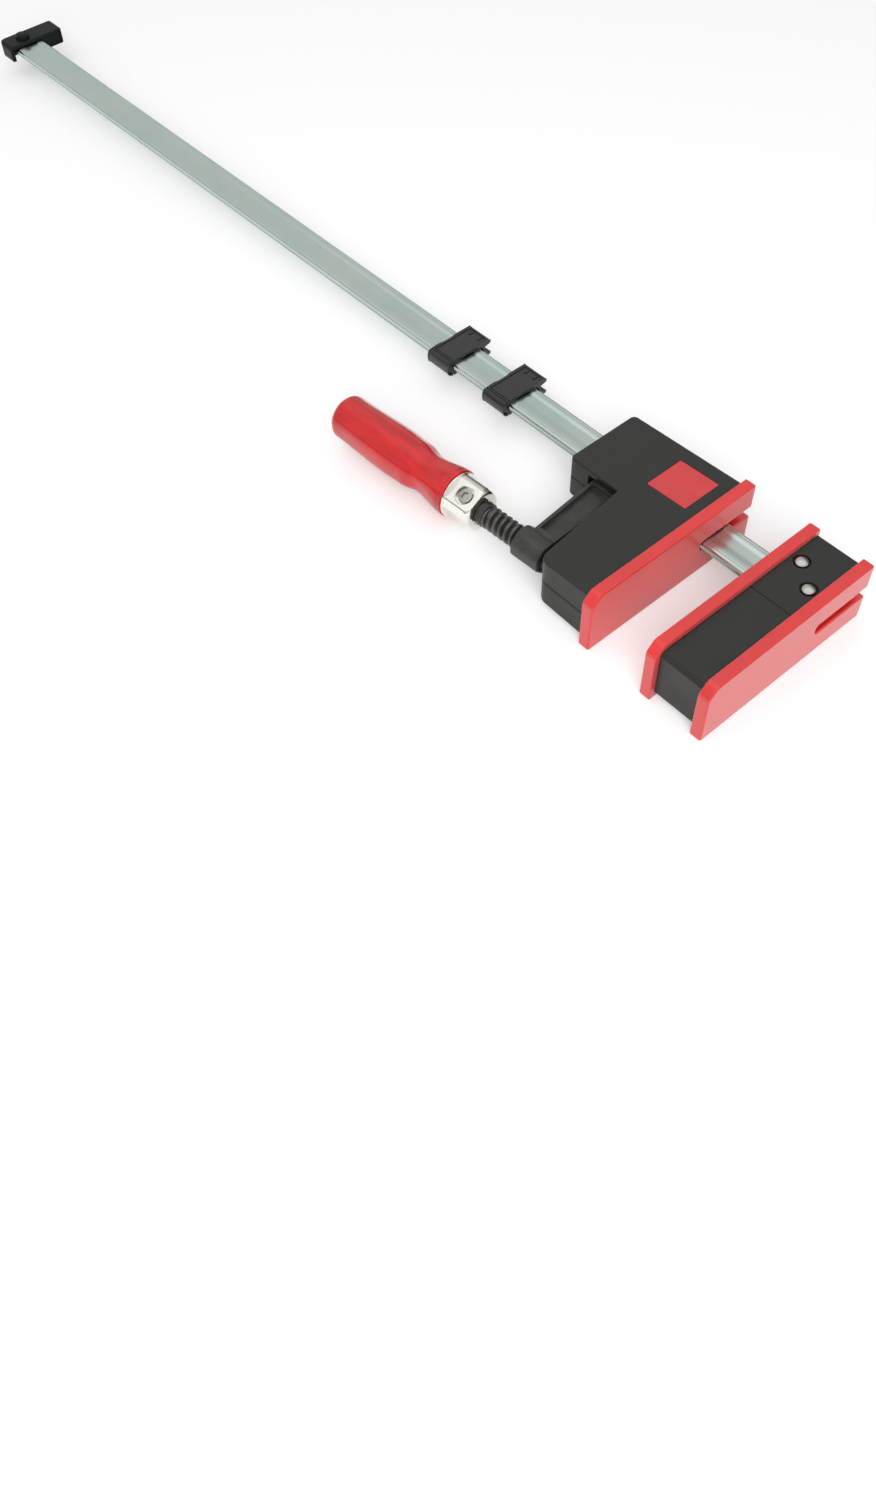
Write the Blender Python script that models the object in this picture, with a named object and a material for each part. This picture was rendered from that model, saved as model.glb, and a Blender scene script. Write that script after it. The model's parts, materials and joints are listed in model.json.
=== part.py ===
"""Parallel clamp with a wooden screw handle, lying on its side.

X runs along the bar from its tail end to the fixed jaw, the jaws reach from the
bar towards -Y, and the wide faces of the bar look up and down. Shop coordinates
have the fixed jaw's clamping face at x = 0 and the bar's centre at y = z = 0.
"""
import math

import bmesh
import bpy
from mathutils import Matrix, Vector

MM = 0.001

# Clearances
GAP = 0.3 * MM
BAR_PLAY = 0.35 * MM
OVERRUN = 2.0 * MM

# Bar
BAR_WIDTH = 21.0 * MM
BAR_THICKNESS = 5.5 * MM
BAR_CORNER = 0.8 * MM
CHANNEL_WIDTH = 12.0 * MM
CHANNEL_DEPTH = 0.45 * MM
CHANNEL_FLANK = 1.0 * MM
BAR_TAIL = 726.5 * MM
BAR_HEAD = 30.0 * MM

# Jaw pads
THROAT_DEPTH = 80.0 * MM
PAD_THICKNESS = 6.7 * MM
PAD_HALF_HEIGHT = 18.6 * MM
PAD_BACK = 27.6 * MM
PAD_CORNER_CUT = 5.5 * MM
PAD_CORNER_ROUND = 1.5 * MM
PAD_EDGE = 0.8 * MM
SLOT_END_ROUND = 2.0 * MM
PEG_RADIUS = 3.0 * MM
PEG_LENGTH = 4.5 * MM
PEG_THROAT_SHARES = (0.25, 0.8)
PEG_SIDE = 7.6 * MM
PEG_BACK = 15.8 * MM
JAW_GAP = 35.1 * MM

# Fixed jaw
FIXED_JAW_LENGTH = 26.8 * MM
FIXED_HALF_HEIGHT = 15.9 * MM
FIXED_END_INSET = 3.0 * MM
FIXED_BACK_INSET = 2.1 * MM
FIXED_END_CHAMFER = 2.5 * MM
BODY_WALL = 3.0 * MM
CORE_SETBACK = 0.6 * MM
CORE_POCKET_DEPTH = 8.0 * MM
CORE_RIB = 5.0 * MM
CORE_POCKET_REST = 11.7 * MM
RIVET_RADIUS = 2.5 * MM
RIVET_HEAD_RADIUS = 3.75 * MM
RIVET_HEAD_HEIGHT = 2.4 * MM
RIVET_RIM = 0.7 * MM
RIVET_RECESS_RADIUS = 4.9 * MM
RIVET_RECESS_DEPTH = 1.6 * MM
RIVET_FRONT_X = 13.3 * MM
RIVET_REAR_X = 27.3 * MM
RIVET_OFFSET = 5.8 * MM

# Moving jaw housing, measured back from the moving clamping face
HOUSING_LENGTH = 83.9 * MM
HOUSING_REAR_HALF_HEIGHT = 12.9 * MM
HOUSING_FRONT_HALF_HEIGHT = 16.2 * MM
HOUSING_BACK_INSET = 2.1 * MM
HOUSING_END_INSET = 3.4 * MM
HOUSING_REAR_SIDE = 23.2 * MM
NOTCH_X = 48.3 * MM
NOTCH_Y = 24.2 * MM
THROAT_END_X = 41.0 * MM
HOUSING_CORNER = 3.2 * MM
HOUSING_END_ROUND = 7.0 * MM
HOUSING_EDGE = 1.0 * MM
SHELL_WALL = 3.0 * MM
ARM_SLOT_X = 69.4 * MM
ARM_SLOT_HALF_HEIGHT = 10.0 * MM
BOSS_POCKET_RADIUS = 10.2 * MM
BOSS_POCKET_DEPTH = 11.8 * MM
POST_RADIUS = 3.4 * MM
POST_REAR_X = 76.0 * MM
POST_FRONT_X = 18.0 * MM
POST_BACK_Y = 17.6 * MM
POST_SIDE_Y = 16.4 * MM
POST_SPINDLE_OFFSET = 29.4 * MM
SCREW_RADIUS = 1.6 * MM
SCREW_HEAD_RADIUS = 2.8 * MM
SCREW_HEAD_HEIGHT = 1.8 * MM
SCREW_SINK = 2.6 * MM
SCREW_TOP = 8.0 * MM
LABEL_X = 14.7 * MM
LABEL_LENGTH = 26.4 * MM
LABEL_Y = 3.1 * MM
LABEL_WIDTH = 25.4 * MM
LABEL_THICKNESS = 0.4 * MM

# Inside the moving jaw
CORE_PLATE = 4.7 * MM
GUIDE_SIDE = 12.6 * MM
FRONT_GUIDE_LENGTH = 24.5 * MM
REAR_GUIDE_FRONT = 72.2 * MM
REAR_GUIDE_LENGTH = 7.0 * MM
SEAT_LENGTH = 12.5 * MM
SEAT_HALF_WIDTH = 9.0 * MM
SEAT_RECESS = 1.0 * MM
THRUST_RADIUS = 8.4 * MM
THRUST_THICKNESS = 3.0 * MM
CUP_FLANGE_RADIUS = 8.0 * MM
CUP_FLANGE = 2.8 * MM
CUP_RADIUS = 5.4 * MM
CUP_LENGTH = 7.2 * MM
CUP_FLOOR = 1.4 * MM
RETAINER_THICKNESS = 2.0 * MM
RETAINER_PLAY = 1.0 * MM
RETAINER_HALF_WIDTH = 10.0 * MM

# Sliding arm, in the plane tilted with the spindle
TILT = math.radians(2.7)
BOSS_X = 56.4 * MM
BOSS_SETBACK = 16.1 * MM
BOSS_RADIUS = 9.1 * MM
BOSS_FLAT = 8.7 * MM
BOSS_LENGTH = 19.0 * MM
BOSS_CHAMFER = 0.9 * MM
BOSS_SIDES = 8
ARM_HALF_HEIGHT = 8.0 * MM
ARM_WEB_HALF = 2.6 * MM
ARM_RIB = 4.5 * MM
ARM_FRONT = 9.0 * MM
ARM_REAR_LOW = 5.1 * MM
ARM_REAR_HIGH = 7.6 * MM
ARM_HEAD_REACH = 24.4 * MM
ARM_HEAD_WALL = 7.0 * MM
ARM_HEAD_ROUND = 2.5 * MM
BITE_PIN_RADIUS = 1.8 * MM
BITE_PIN_SINK = 1.2 * MM
BITE_PIN_SETBACK = 2.5 * MM
SPRING_THICKNESS = 0.4 * MM
SPRING_WIDTH = 7.0 * MM
SPRING_LENGTH = 12.0 * MM
SPRING_RISE = 1.4 * MM

# Spindle, ferrule and handle, measured along the spindle from the boss centre
SPINDLE_RADIUS = 6.5 * MM
THREAD_DEPTH = 1.5 * MM
THREAD_PITCH = 4.0 * MM
BORE_PLAY = 0.35 * MM
THREAD_FRONT = 17.0 * MM
THREAD_REAR = 36.6 * MM
NECK_RADIUS = 2.8 * MM
BALL_RADIUS = 3.8 * MM
SHOULDER_RADIUS = 7.0 * MM
SHOULDER_FRONT = 35.7 * MM
FERRULE_FRONT = 37.7 * MM
FERRULE_LENGTH = 17.4 * MM
FERRULE_RADIUS = 12.6 * MM
FERRULE_FLAT = 10.6 * MM
FERRULE_NOSE = 3.1 * MM
FERRULE_NOSE_RADIUS = 9.8 * MM
FERRULE_EDGE = 0.3 * MM
FERRULE_TURN = math.radians(27.0)
TANG_RADIUS = 4.8 * MM
TANG_LENGTH = 34.0 * MM
CROSS_HEAD_RADIUS = 3.5 * MM
CROSS_HEAD_HEIGHT = 2.6 * MM
CROSS_SEAT = 7.2 * MM
CROSS_SEAT_RADIUS = 4.5 * MM
CROSS_SHANK_RADIUS = 2.1 * MM
CROSS_REACH = 3.4 * MM
HEX_RADIUS = 2.2 * MM
HEX_DEPTH = 1.4 * MM
HANDLE_LENGTH = 93.0 * MM
HANDLE_MOUTH = 13.9 * MM
HANDLE_NECK = 11.6 * MM
HANDLE_BULGE = 14.1 * MM
HANDLE_END = 13.0 * MM
HANDLE_RIM = 0.9 * MM
HANDLE_DOME = 3.4 * MM
HANDLE_FLATS = 0.35 * MM
HANDLE_SIDES = 8
NECK_SHARE = 0.24
SHOULDER_SHARE = 0.34
BULGE_SHARE = 0.5
END_SHARE = 0.93

# Bar end cap
CAP_GRIP = 14.0 * MM
CAP_LENGTH = 17.3 * MM
CAP_HALF_HEIGHT = 5.1 * MM
CAP_SIDE = 16.2 * MM
CAP_EDGE = 0.8 * MM
CAP_SIDE_ROUND = 5.0 * MM
CAP_LEG = 2.6 * MM
CAP_LEG_SLOT = 8.5 * MM
CAP_PIN_SETBACK = 5.5 * MM
CAP_PIN_Y = -0.6 * MM
CAP_PIN_RADIUS = 2.0 * MM
CAP_PIN_HEAD_RADIUS = 4.2 * MM
CAP_PIN_HEAD_HEIGHT = 1.7 * MM

# Support clips on the bar
CLIP_LENGTH = 19.3 * MM
CLIP_WALL = 1.8 * MM
CLIP_SIDE = 15.0 * MM
CLIP_BACK = 18.0 * MM
CLIP_CORNER = 2.2 * MM
CLIP_LIP_GAP = 1.6 * MM
CLIP_LIP_RUN = 1.8 * MM
CLIP_FRONT_X = 186.9 * MM
CLIP_REAR_X = 234.9 * MM

# Facets of the round pieces
TURN_STEPS = 24
SMALL_STEPS = 16
THREAD_STEPS = 20
ARC_STEPS = 3

# Derived sizes
BAR_HALF = BAR_WIDTH / 2
BAR_HALF_THICK = BAR_THICKNESS / 2
SLOT_HALF = BAR_HALF_THICK + BAR_PLAY
PAD_THROAT = BAR_HALF + THROAT_DEPTH
PAD_BACK_FACE = PAD_THICKNESS + GAP
BOSS_Y = PAD_THROAT - BOSS_SETBACK
ARM_HEAD_START = BOSS_Y - ARM_HEAD_REACH
BORE_RADIUS = SPINDLE_RADIUS + BORE_PLAY
CORE_FACE = PAD_BACK_FACE + CORE_SETBACK
JAW_CORE_BACK = CORE_FACE + CORE_PLATE
SEAT_FACE = JAW_CORE_BACK + SEAT_LENGTH
THRUST_BACK = SEAT_FACE - SEAT_RECESS + GAP
CUP_FACE = THRUST_BACK + THRUST_THICKNESS + GAP
RETAINER_FACE = CUP_FACE + CUP_FLANGE + GAP
BALL_X = CUP_FACE + CUP_FLOOR + GAP + BALL_RADIUS
BALL_CENTRE = (BOSS_X - BALL_X) / math.cos(TILT)
BALL_Y = BALL_CENTRE * math.sin(TILT) - BOSS_Y
CAP_FRONT = BAR_TAIL - CAP_GRIP
CAP_PIN_X = BAR_TAIL - CAP_PIN_SETBACK
FERRULE_REAR = FERRULE_FRONT + FERRULE_LENGTH
HANDLE_FRONT = FERRULE_REAR + GAP
BAR_IN_ARM = BOSS_Y / math.cos(TILT)
EYE_HALF = BAR_HALF + ARM_FRONT * math.tan(TILT) + BAR_PLAY

PAD_RED = ((0.62, 0.035, 0.03), 0.42, 0.0)
HANDLE_RED = ((0.5, 0.012, 0.015), 0.2, 0.0)
BLACK_PLASTIC = ((0.028, 0.027, 0.024), 0.5, 0.0)
DARK_PLASTIC = ((0.045, 0.044, 0.042), 0.55, 0.0)
ZINC = ((0.62, 0.66, 0.63), 0.32, 1.0)
NICKEL = ((0.82, 0.81, 0.77), 0.18, 1.0)
BLACK_STEEL = ((0.035, 0.035, 0.037), 0.38, 0.6)
CAST_STEEL = ((0.2, 0.2, 0.2), 0.6, 0.8)
HARD_STEEL = ((0.45, 0.45, 0.46), 0.3, 1.0)


def clear_scene():
    """Remove what the start-up file holds."""
    for item in list(bpy.data.objects):
        bpy.data.objects.remove(item, do_unlink=True)


def new_object(name, bm):
    """Turn a bmesh into an object with outward faces."""
    bmesh.ops.recalc_face_normals(bm, faces=bm.faces)
    mesh = bpy.data.meshes.new(name)
    bm.to_mesh(mesh)
    bm.free()
    piece = bpy.data.objects.new(name, mesh)
    bpy.context.scene.collection.objects.link(piece)
    return piece


def loft(name, rings):
    """Join rings of equally many points, and cap both ends."""
    bm = bmesh.new()
    loops = [[bm.verts.new(point) for point in ring] for ring in rings]
    count = len(loops[0])
    for lower, upper in zip(loops, loops[1:]):
        for i in range(count):
            j = (i + 1) % count
            bm.faces.new((lower[i], lower[j], upper[j], upper[i]))
    bm.faces.new(loops[0])
    bm.faces.new(loops[-1])
    return new_object(name, bm)


def across(axis, outline, height):
    """Place an outline square to an axis, at a height along it."""
    if axis == "X":
        return [(height, a, b) for a, b in outline]
    if axis == "Y":
        return [(b, height, a) for a, b in outline]
    return [(a, b, height) for a, b in outline]


def prism(name, outline, low, high, axis="Z"):
    """Extrude an outline along an axis."""
    return loft(name, [across(axis, outline, low), across(axis, outline, high)])


def block(name, low, high):
    """A box between two corners."""
    outline = [(low[0], low[1]), (high[0], low[1]), (high[0], high[1]), (low[0], high[1])]
    return prism(name, outline, low[2], high[2])


def circle(radius, steps, centre=(0, 0)):
    """Points round a circle."""
    turns = [2 * math.pi * i / steps for i in range(steps)]
    return [(centre[0] + radius * math.cos(t), centre[1] + radius * math.sin(t)) for t in turns]


def turned(name, profile, steps=TURN_STEPS, closed=False):
    """Spin a profile of (x, radius) points about the X axis."""
    bm = bmesh.new()
    loops = []
    for x, radius in profile:
        if radius == 0:
            loops.append([bm.verts.new((x, 0, 0))])
        else:
            loops.append([bm.verts.new((x, y, z)) for y, z in circle(radius, steps)])
    pairs = list(zip(loops, loops[1:]))
    if closed:
        pairs.append((loops[-1], loops[0]))
    for first, second in pairs:
        for i in range(steps):
            j = (i + 1) % steps
            corners = [first[i % len(first)], first[j % len(first)]]
            corners += [second[j % len(second)], second[i % len(second)]]
            bm.faces.new(list(dict.fromkeys(corners)))
    if not closed:
        for loop in (loops[0], loops[-1]):
            if len(loop) > 1:
                bm.faces.new(loop)
    return new_object(name, bm)


def rounded(corners):
    """Replace each (a, b, radius) corner by an arc, or keep it where the radius is zero."""
    points = []
    count = len(corners)
    for i, (a, b, radius) in enumerate(corners):
        here = Vector((a, b))
        if radius == 0:
            points.append((a, b))
            continue
        before = (Vector(corners[i - 1][:2]) - here).normalized()
        after = (Vector(corners[(i + 1) % count][:2]) - here).normalized()
        half = before.angle(after) / 2
        centre = here + (before + after).normalized() * (radius / math.sin(half))
        start = here + before * (radius / math.tan(half)) - centre
        sweep = start.angle_signed(here + after * (radius / math.tan(half)) - centre)
        for step in range(ARC_STEPS + 1):
            turn = Matrix.Rotation(-sweep * step / ARC_STEPS, 2)
            point = centre + turn @ start
            points.append((point.x, point.y))
    return points


def inset(outline, distance):
    """Move every side of a counter-clockwise outline inwards."""
    points = []
    count = len(outline)
    for i in range(count):
        here = Vector(outline[i])
        before = (here - Vector(outline[i - 1])).normalized()
        after = (Vector(outline[(i + 1) % count]) - here).normalized()
        normal_before = Vector((-before.y, before.x))
        normal_after = Vector((-after.y, after.x))
        shift = (normal_before + normal_after) * (distance / (1 + normal_before.dot(normal_after)))
        points.append(tuple(here + shift))
    return points


def combine(piece, tools, operation):
    """Cut tools out of a piece or fuse them to it, and remove the tools."""
    for tool in tools:
        tool.hide_render = True
        tool.display_type = "WIRE"
        modifier = piece.modifiers.new(operation.lower(), "BOOLEAN")
        modifier.operation = operation
        modifier.object = tool
    graph = bpy.context.evaluated_depsgraph_get()
    mesh = bpy.data.meshes.new_from_object(piece.evaluated_get(graph))
    piece.modifiers.clear()
    piece.data = mesh
    for tool in tools:
        bpy.data.objects.remove(tool, do_unlink=True)
    return piece


def cut(piece, *tools):
    """Take the tools out of a piece."""
    return combine(piece, tools, "DIFFERENCE")


def fuse(piece, *tools):
    """Make the tools part of a piece."""
    return combine(piece, tools, "UNION")


def rod(radius, start, end, axis="Z", centre=(0, 0), steps=SMALL_STEPS):
    """A plain round bar for cutting or fusing."""
    return prism("rod", circle(radius, steps, centre), start, end, axis)


def move_mesh(piece, matrix):
    """Place a piece by its mesh."""
    piece.data.transform(matrix)
    return piece


def dress(piece, finish, smooth=None):
    """Give a piece its own material, and smooth shading below an edge angle."""
    colour, roughness, metallic = finish
    material = bpy.data.materials.new(piece.name)
    material.use_nodes = True
    shader = material.node_tree.nodes["Principled BSDF"]
    shader.inputs["Base Color"].default_value = (*colour, 1.0)
    shader.inputs["Roughness"].default_value = roughness
    shader.inputs["Metallic"].default_value = metallic
    piece.data.materials.clear()
    piece.data.materials.append(material)
    if smooth is not None:
        piece.data.shade_smooth()
        piece.data.set_sharp_from_angle(angle=math.radians(smooth))
    return piece


def bar_hole(low_x, high_x):
    """The opening that the bar runs through, with its play."""
    reach = BAR_HALF + BAR_PLAY
    return block("bar_hole", (low_x, -reach, -SLOT_HALF), (high_x, reach, SLOT_HALF))


def rail_bar():
    """The zinc-plated bar with a shallow channel in both wide faces."""
    half = CHANNEL_WIDTH / 2
    floor = BAR_HALF_THICK - CHANNEL_DEPTH
    side = BAR_HALF_THICK - BAR_CORNER
    flank = half + CHANNEL_FLANK
    quarter = [
        (BAR_HALF, side), (BAR_HALF - BAR_CORNER, BAR_HALF_THICK), (flank, BAR_HALF_THICK), (half, floor),
    ]
    top = quarter + [(-y, z) for y, z in reversed(quarter)]
    outline = top + [(-y, -z) for y, z in top]
    bar = prism("rail_bar", outline, -BAR_TAIL, BAR_HEAD, "X")
    reach = BAR_HALF_THICK + OVERRUN
    holes = [rod(RIVET_RADIUS + GAP, -reach, reach, centre=place) for place in rivet_places()]
    holes.append(rod(CAP_PIN_RADIUS + GAP, -reach, reach, centre=(-CAP_PIN_X, CAP_PIN_Y)))
    return dress(cut(bar, *holes), ZINC)


def rivet_places():
    """Where the two rivets stand in the fixed jaw."""
    return [(RIVET_FRONT_X, RIVET_OFFSET), (RIVET_REAR_X, -RIVET_OFFSET)]


def pad_outline():
    """A pad's face in Y and Z, with the slot that clears the bar."""
    top = PAD_HALF_HEIGHT
    cut_y = PAD_CORNER_CUT - PAD_THROAT
    small = PAD_CORNER_ROUND
    slot_end = -BAR_HALF - BAR_PLAY - GAP
    return rounded([
        (-PAD_THROAT, -top, small),
        (PAD_BACK, -top, small),
        (PAD_BACK, -SLOT_HALF, 0),
        (slot_end, -SLOT_HALF, SLOT_END_ROUND),
        (slot_end, SLOT_HALF, SLOT_END_ROUND),
        (PAD_BACK, SLOT_HALF, 0),
        (PAD_BACK, top, small),
        (cut_y, top, small),
        (-PAD_THROAT, top - PAD_CORNER_CUT, small),
    ])


def peg_places():
    """Where the pegs of a pad stand, in Y and Z."""
    places = [(-BAR_HALF - share * THROAT_DEPTH, 0) for share in PEG_THROAT_SHARES]
    return places + [(PEG_BACK, PEG_SIDE), (PEG_BACK, -PEG_SIDE)]


def pegs(face_x, facing, radius, length):
    """Pegs behind a pad whose face looks along facing, or the holes that take them."""
    root = face_x - facing * (PAD_THICKNESS - PAD_EDGE)
    tip = face_x - facing * (PAD_THICKNESS + length)
    return [rod(radius, min(root, tip), max(root, tip), "X", place) for place in peg_places()]


def pad(name, face_x, facing):
    """A pad with a softened clamping face and pegs on its back."""
    outline = pad_outline()
    depths = [(0, inset(outline, PAD_EDGE)), (PAD_EDGE, outline), (PAD_THICKNESS, outline)]
    rings = [across("X", points, face_x - facing * depth) for depth, points in depths]
    body = fuse(loft(name, rings), *pegs(face_x, facing, PEG_RADIUS, PEG_LENGTH))
    return dress(body, PAD_RED, 30)


def fixed_jaw_body():
    """The plastic body between the two pads of the fixed jaw, open at both pads."""
    end = FIXED_END_INSET - PAD_THROAT
    back = PAD_BACK - FIXED_BACK_INSET
    height = FIXED_HALF_HEIGHT
    chamfer = FIXED_END_CHAMFER
    outline = [
        (end, chamfer - height), (end + chamfer, -height), (back, -height),
        (back, height), (end + chamfer, height), (end, height - chamfer),
    ]
    near = PAD_BACK_FACE
    far = PAD_THICKNESS + FIXED_JAW_LENGTH - GAP
    body = prism("fixed_jaw_body", outline, near, far, "X")
    cavity = block(
        "cavity", (near - OVERRUN, end + BODY_WALL, BODY_WALL - height),
        (far + OVERRUN, back - BODY_WALL, height - BODY_WALL),
    )
    tools = [cavity]
    for place in rivet_places():
        tools.append(rod(RIVET_RADIUS + GAP, -height - OVERRUN, height + OVERRUN, centre=place))
        floor = height - RIVET_RECESS_DEPTH
        tools.append(rod(RIVET_RECESS_RADIUS, floor, height + OVERRUN, centre=place, steps=TURN_STEPS))
        tools.append(rod(RIVET_RECESS_RADIUS, -height - OVERRUN, -floor, centre=place, steps=TURN_STEPS))
    return dress(cut(body, *tools), BLACK_PLASTIC)


def fixed_jaw_core():
    """The cast core that carries the clamping load inside the fixed jaw."""
    near = CORE_FACE
    far = PAD_THICKNESS + FIXED_JAW_LENGTH - GAP - CORE_SETBACK
    end = FIXED_END_INSET - PAD_THROAT + BODY_WALL + GAP
    back = PAD_BACK - FIXED_BACK_INSET - BODY_WALL - GAP
    height = FIXED_HALF_HEIGHT - BODY_WALL - GAP
    core = block("fixed_jaw_core", (near, end, -height), (far, back, height))
    tools = [bar_hole(near - OVERRUN, BAR_HEAD + GAP)]
    tools += pegs(0, -1, PEG_RADIUS + GAP, PEG_LENGTH + GAP)
    tools += pegs(2 * PAD_THICKNESS + FIXED_JAW_LENGTH, 1, PEG_RADIUS + GAP, PEG_LENGTH + GAP)
    for place in rivet_places():
        tools.append(rod(RIVET_RADIUS + GAP, -height - OVERRUN, height + OVERRUN, centre=place))
    for side in (-1, 1):
        levels = sorted((side * (height - CORE_POCKET_DEPTH), side * (height + OVERRUN)))
        tools.append(block(
            "pocket", (near + CORE_RIB, end + CORE_RIB, levels[0]),
            (far - CORE_RIB, -BAR_HALF - CORE_POCKET_REST, levels[1]),
        ))
    return dress(cut(core, *tools), CAST_STEEL)


def rivet(name, place):
    """A round-headed rivet through the body, the core and the bar."""
    seat = FIXED_HALF_HEIGHT - RIVET_RECESS_DEPTH + GAP
    crown = seat + RIVET_HEAD_HEIGHT
    dome = RIVET_HEAD_HEIGHT - RIVET_RIM
    head = []
    for angle in (0, 0.5, 1.0):
        head.append((seat + RIVET_RIM + dome * math.sin(angle), RIVET_HEAD_RADIUS * math.cos(angle)))
    half = [(0, RIVET_RADIUS), (seat, RIVET_RADIUS), (seat, RIVET_HEAD_RADIUS)] + head + [(crown, 0)]
    profile = [(-x, r) for x, r in reversed(half)] + half[1:]
    piece = turned(name, profile, SMALL_STEPS)
    stand = Matrix.Translation((place[0], place[1], 0)) @ Matrix.Rotation(-math.pi / 2, 4, "Y")
    return dress(move_mesh(piece, stand), NICKEL, 40)


def housing_height(x):
    """Half height of the moving jaw's housing at a distance behind its clamping face."""
    share = (HOUSING_LENGTH + x) / (HOUSING_LENGTH - PAD_BACK_FACE)
    return HOUSING_REAR_HALF_HEIGHT + share * (HOUSING_FRONT_HALF_HEIGHT - HOUSING_REAR_HALF_HEIGHT)


def housing_outline(grow=0):
    """The housing seen from above, its front end moved forward by grow."""
    front = grow - PAD_BACK_FACE
    back = PAD_BACK - HOUSING_BACK_INSET
    end = HOUSING_END_INSET - PAD_THROAT
    return rounded([
        (front, back, 0),
        (-HOUSING_LENGTH, back, HOUSING_CORNER),
        (-HOUSING_LENGTH, -HOUSING_REAR_SIDE, HOUSING_CORNER),
        (-NOTCH_X, -NOTCH_Y, 0),
        (-THROAT_END_X, end, HOUSING_END_ROUND),
        (front, end, 0),
    ])


def raised(outline, side, drop):
    """Put an outline on the housing's sloping top, or a drop below it."""
    return [(x, y, side * (housing_height(x) - drop)) for x, y in outline]


def post_places():
    """Where the four housing screws stand."""
    return [
        (-POST_REAR_X, POST_BACK_Y), (-POST_REAR_X, -POST_SIDE_Y),
        (-POST_FRONT_X, POST_BACK_Y), (-POST_FRONT_X, POST_SPINDLE_OFFSET - BOSS_Y),
    ]


def arm_opening(side):
    """The opening in the housing's rear walls that the arm and its boss move in."""
    reach = side * ARM_SLOT_HALF_HEIGHT
    levels = sorted((-side * OVERRUN, reach))
    inner = BOSS_POCKET_DEPTH - NOTCH_X
    outline = [
        (-ARM_SLOT_X, SHELL_WALL + OVERRUN - NOTCH_Y), (-ARM_SLOT_X, -NOTCH_Y - OVERRUN),
        (-NOTCH_X - OVERRUN, -NOTCH_Y - OVERRUN), (-NOTCH_X - OVERRUN, BALL_Y),
        (inner, BALL_Y), (inner, SHELL_WALL + OVERRUN - NOTCH_Y),
    ]
    return prism("arm_opening", outline, levels[0], levels[1])


def jaw_shell(name, side):
    """One half of the moving jaw's housing, split at the middle of the bar."""
    outline = housing_outline()
    front = -PAD_BACK_FACE
    split = side * GAP / 2
    crown = []
    for small, full in zip(inset(outline, HOUSING_EDGE), outline):
        crown.append((front if full[0] == front else small[0], small[1]))
    rings = [across("Z", outline, split), raised(outline, side, HOUSING_EDGE), raised(crown, side, 0)]
    shell = loft(name, rings)
    inner = inset(housing_outline(OVERRUN + SHELL_WALL), SHELL_WALL)
    cavity = loft("cavity", [across("Z", inner, -side * OVERRUN), raised(inner, side, SHELL_WALL)])
    tall = HOUSING_FRONT_HALF_HEIGHT + OVERRUN
    for place in post_places():
        cut(cavity, rod(POST_RADIUS, -tall, tall, centre=place))
    pocket = rod(BOSS_POCKET_RADIUS, -NOTCH_X - OVERRUN, BOSS_POCKET_DEPTH - NOTCH_X, "X", (BALL_Y, 0))
    rear_hole = bar_hole(-HOUSING_LENGTH - OVERRUN, OVERRUN + SHELL_WALL - HOUSING_LENGTH)
    cut(shell, cavity, arm_opening(side), pocket, rear_hole)
    return shell


def jaw_shell_top():
    """The upper half, with a blind hole for each screw and a recess for the label."""
    shell = jaw_shell("jaw_shell_top", 1)
    tools = [rod(SCREW_RADIUS + GAP, -OVERRUN, SCREW_TOP + GAP, centre=place) for place in post_places()]
    sink = LABEL_THICKNESS + GAP
    area = label_outline(GAP)
    tools.append(loft("recess", [raised(area, 1, sink), raised(area, 1, -OVERRUN)]))
    return dress(cut(shell, *tools), BLACK_PLASTIC, 20)


def jaw_shell_bottom():
    """The lower half, with sunk holes for the screw heads."""
    shell = jaw_shell("jaw_shell_bottom", -1)
    tools = []
    for place in post_places():
        outside = -housing_height(place[0])
        tools.append(rod(SCREW_RADIUS + GAP, outside - OVERRUN, OVERRUN, centre=place))
        tools.append(rod(SCREW_HEAD_RADIUS + GAP, outside - OVERRUN, outside + SCREW_SINK, centre=place))
    return dress(cut(shell, *tools), BLACK_PLASTIC, 20)


def label_outline(grow):
    """The label's rectangle on the housing, larger by grow on every side."""
    low = (-LABEL_X - LABEL_LENGTH - grow, LABEL_Y - LABEL_WIDTH / 2 - grow)
    high = (grow - LABEL_X, LABEL_Y + LABEL_WIDTH / 2 + grow)
    return [low, (high[0], low[1]), high, (low[0], high[1])]


def jaw_label():
    """The plain label plate let into the top of the housing."""
    area = label_outline(0)
    plate = loft("jaw_label", [raised(area, 1, LABEL_THICKNESS), raised(area, 1, 0)])
    return dress(plate, PAD_RED)


def shell_screw(name, place):
    """A screw that holds the two housing halves together from below."""
    head = SCREW_SINK - housing_height(place[0]) - GAP - SCREW_HEAD_HEIGHT
    under = head + SCREW_HEAD_HEIGHT
    profile = [
        (head, 0), (head, SCREW_HEAD_RADIUS - SCREW_RADIUS / 2), (head + SCREW_RADIUS / 2, SCREW_HEAD_RADIUS),
        (under, SCREW_HEAD_RADIUS), (under, SCREW_RADIUS), (SCREW_TOP - SCREW_RADIUS, SCREW_RADIUS),
        (SCREW_TOP, 0),
    ]
    piece = turned(name, profile, SMALL_STEPS)
    stand = Matrix.Translation((place[0], place[1], 0)) @ Matrix.Rotation(-math.pi / 2, 4, "Y")
    return dress(move_mesh(piece, stand), BLACK_STEEL, 40)


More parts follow.
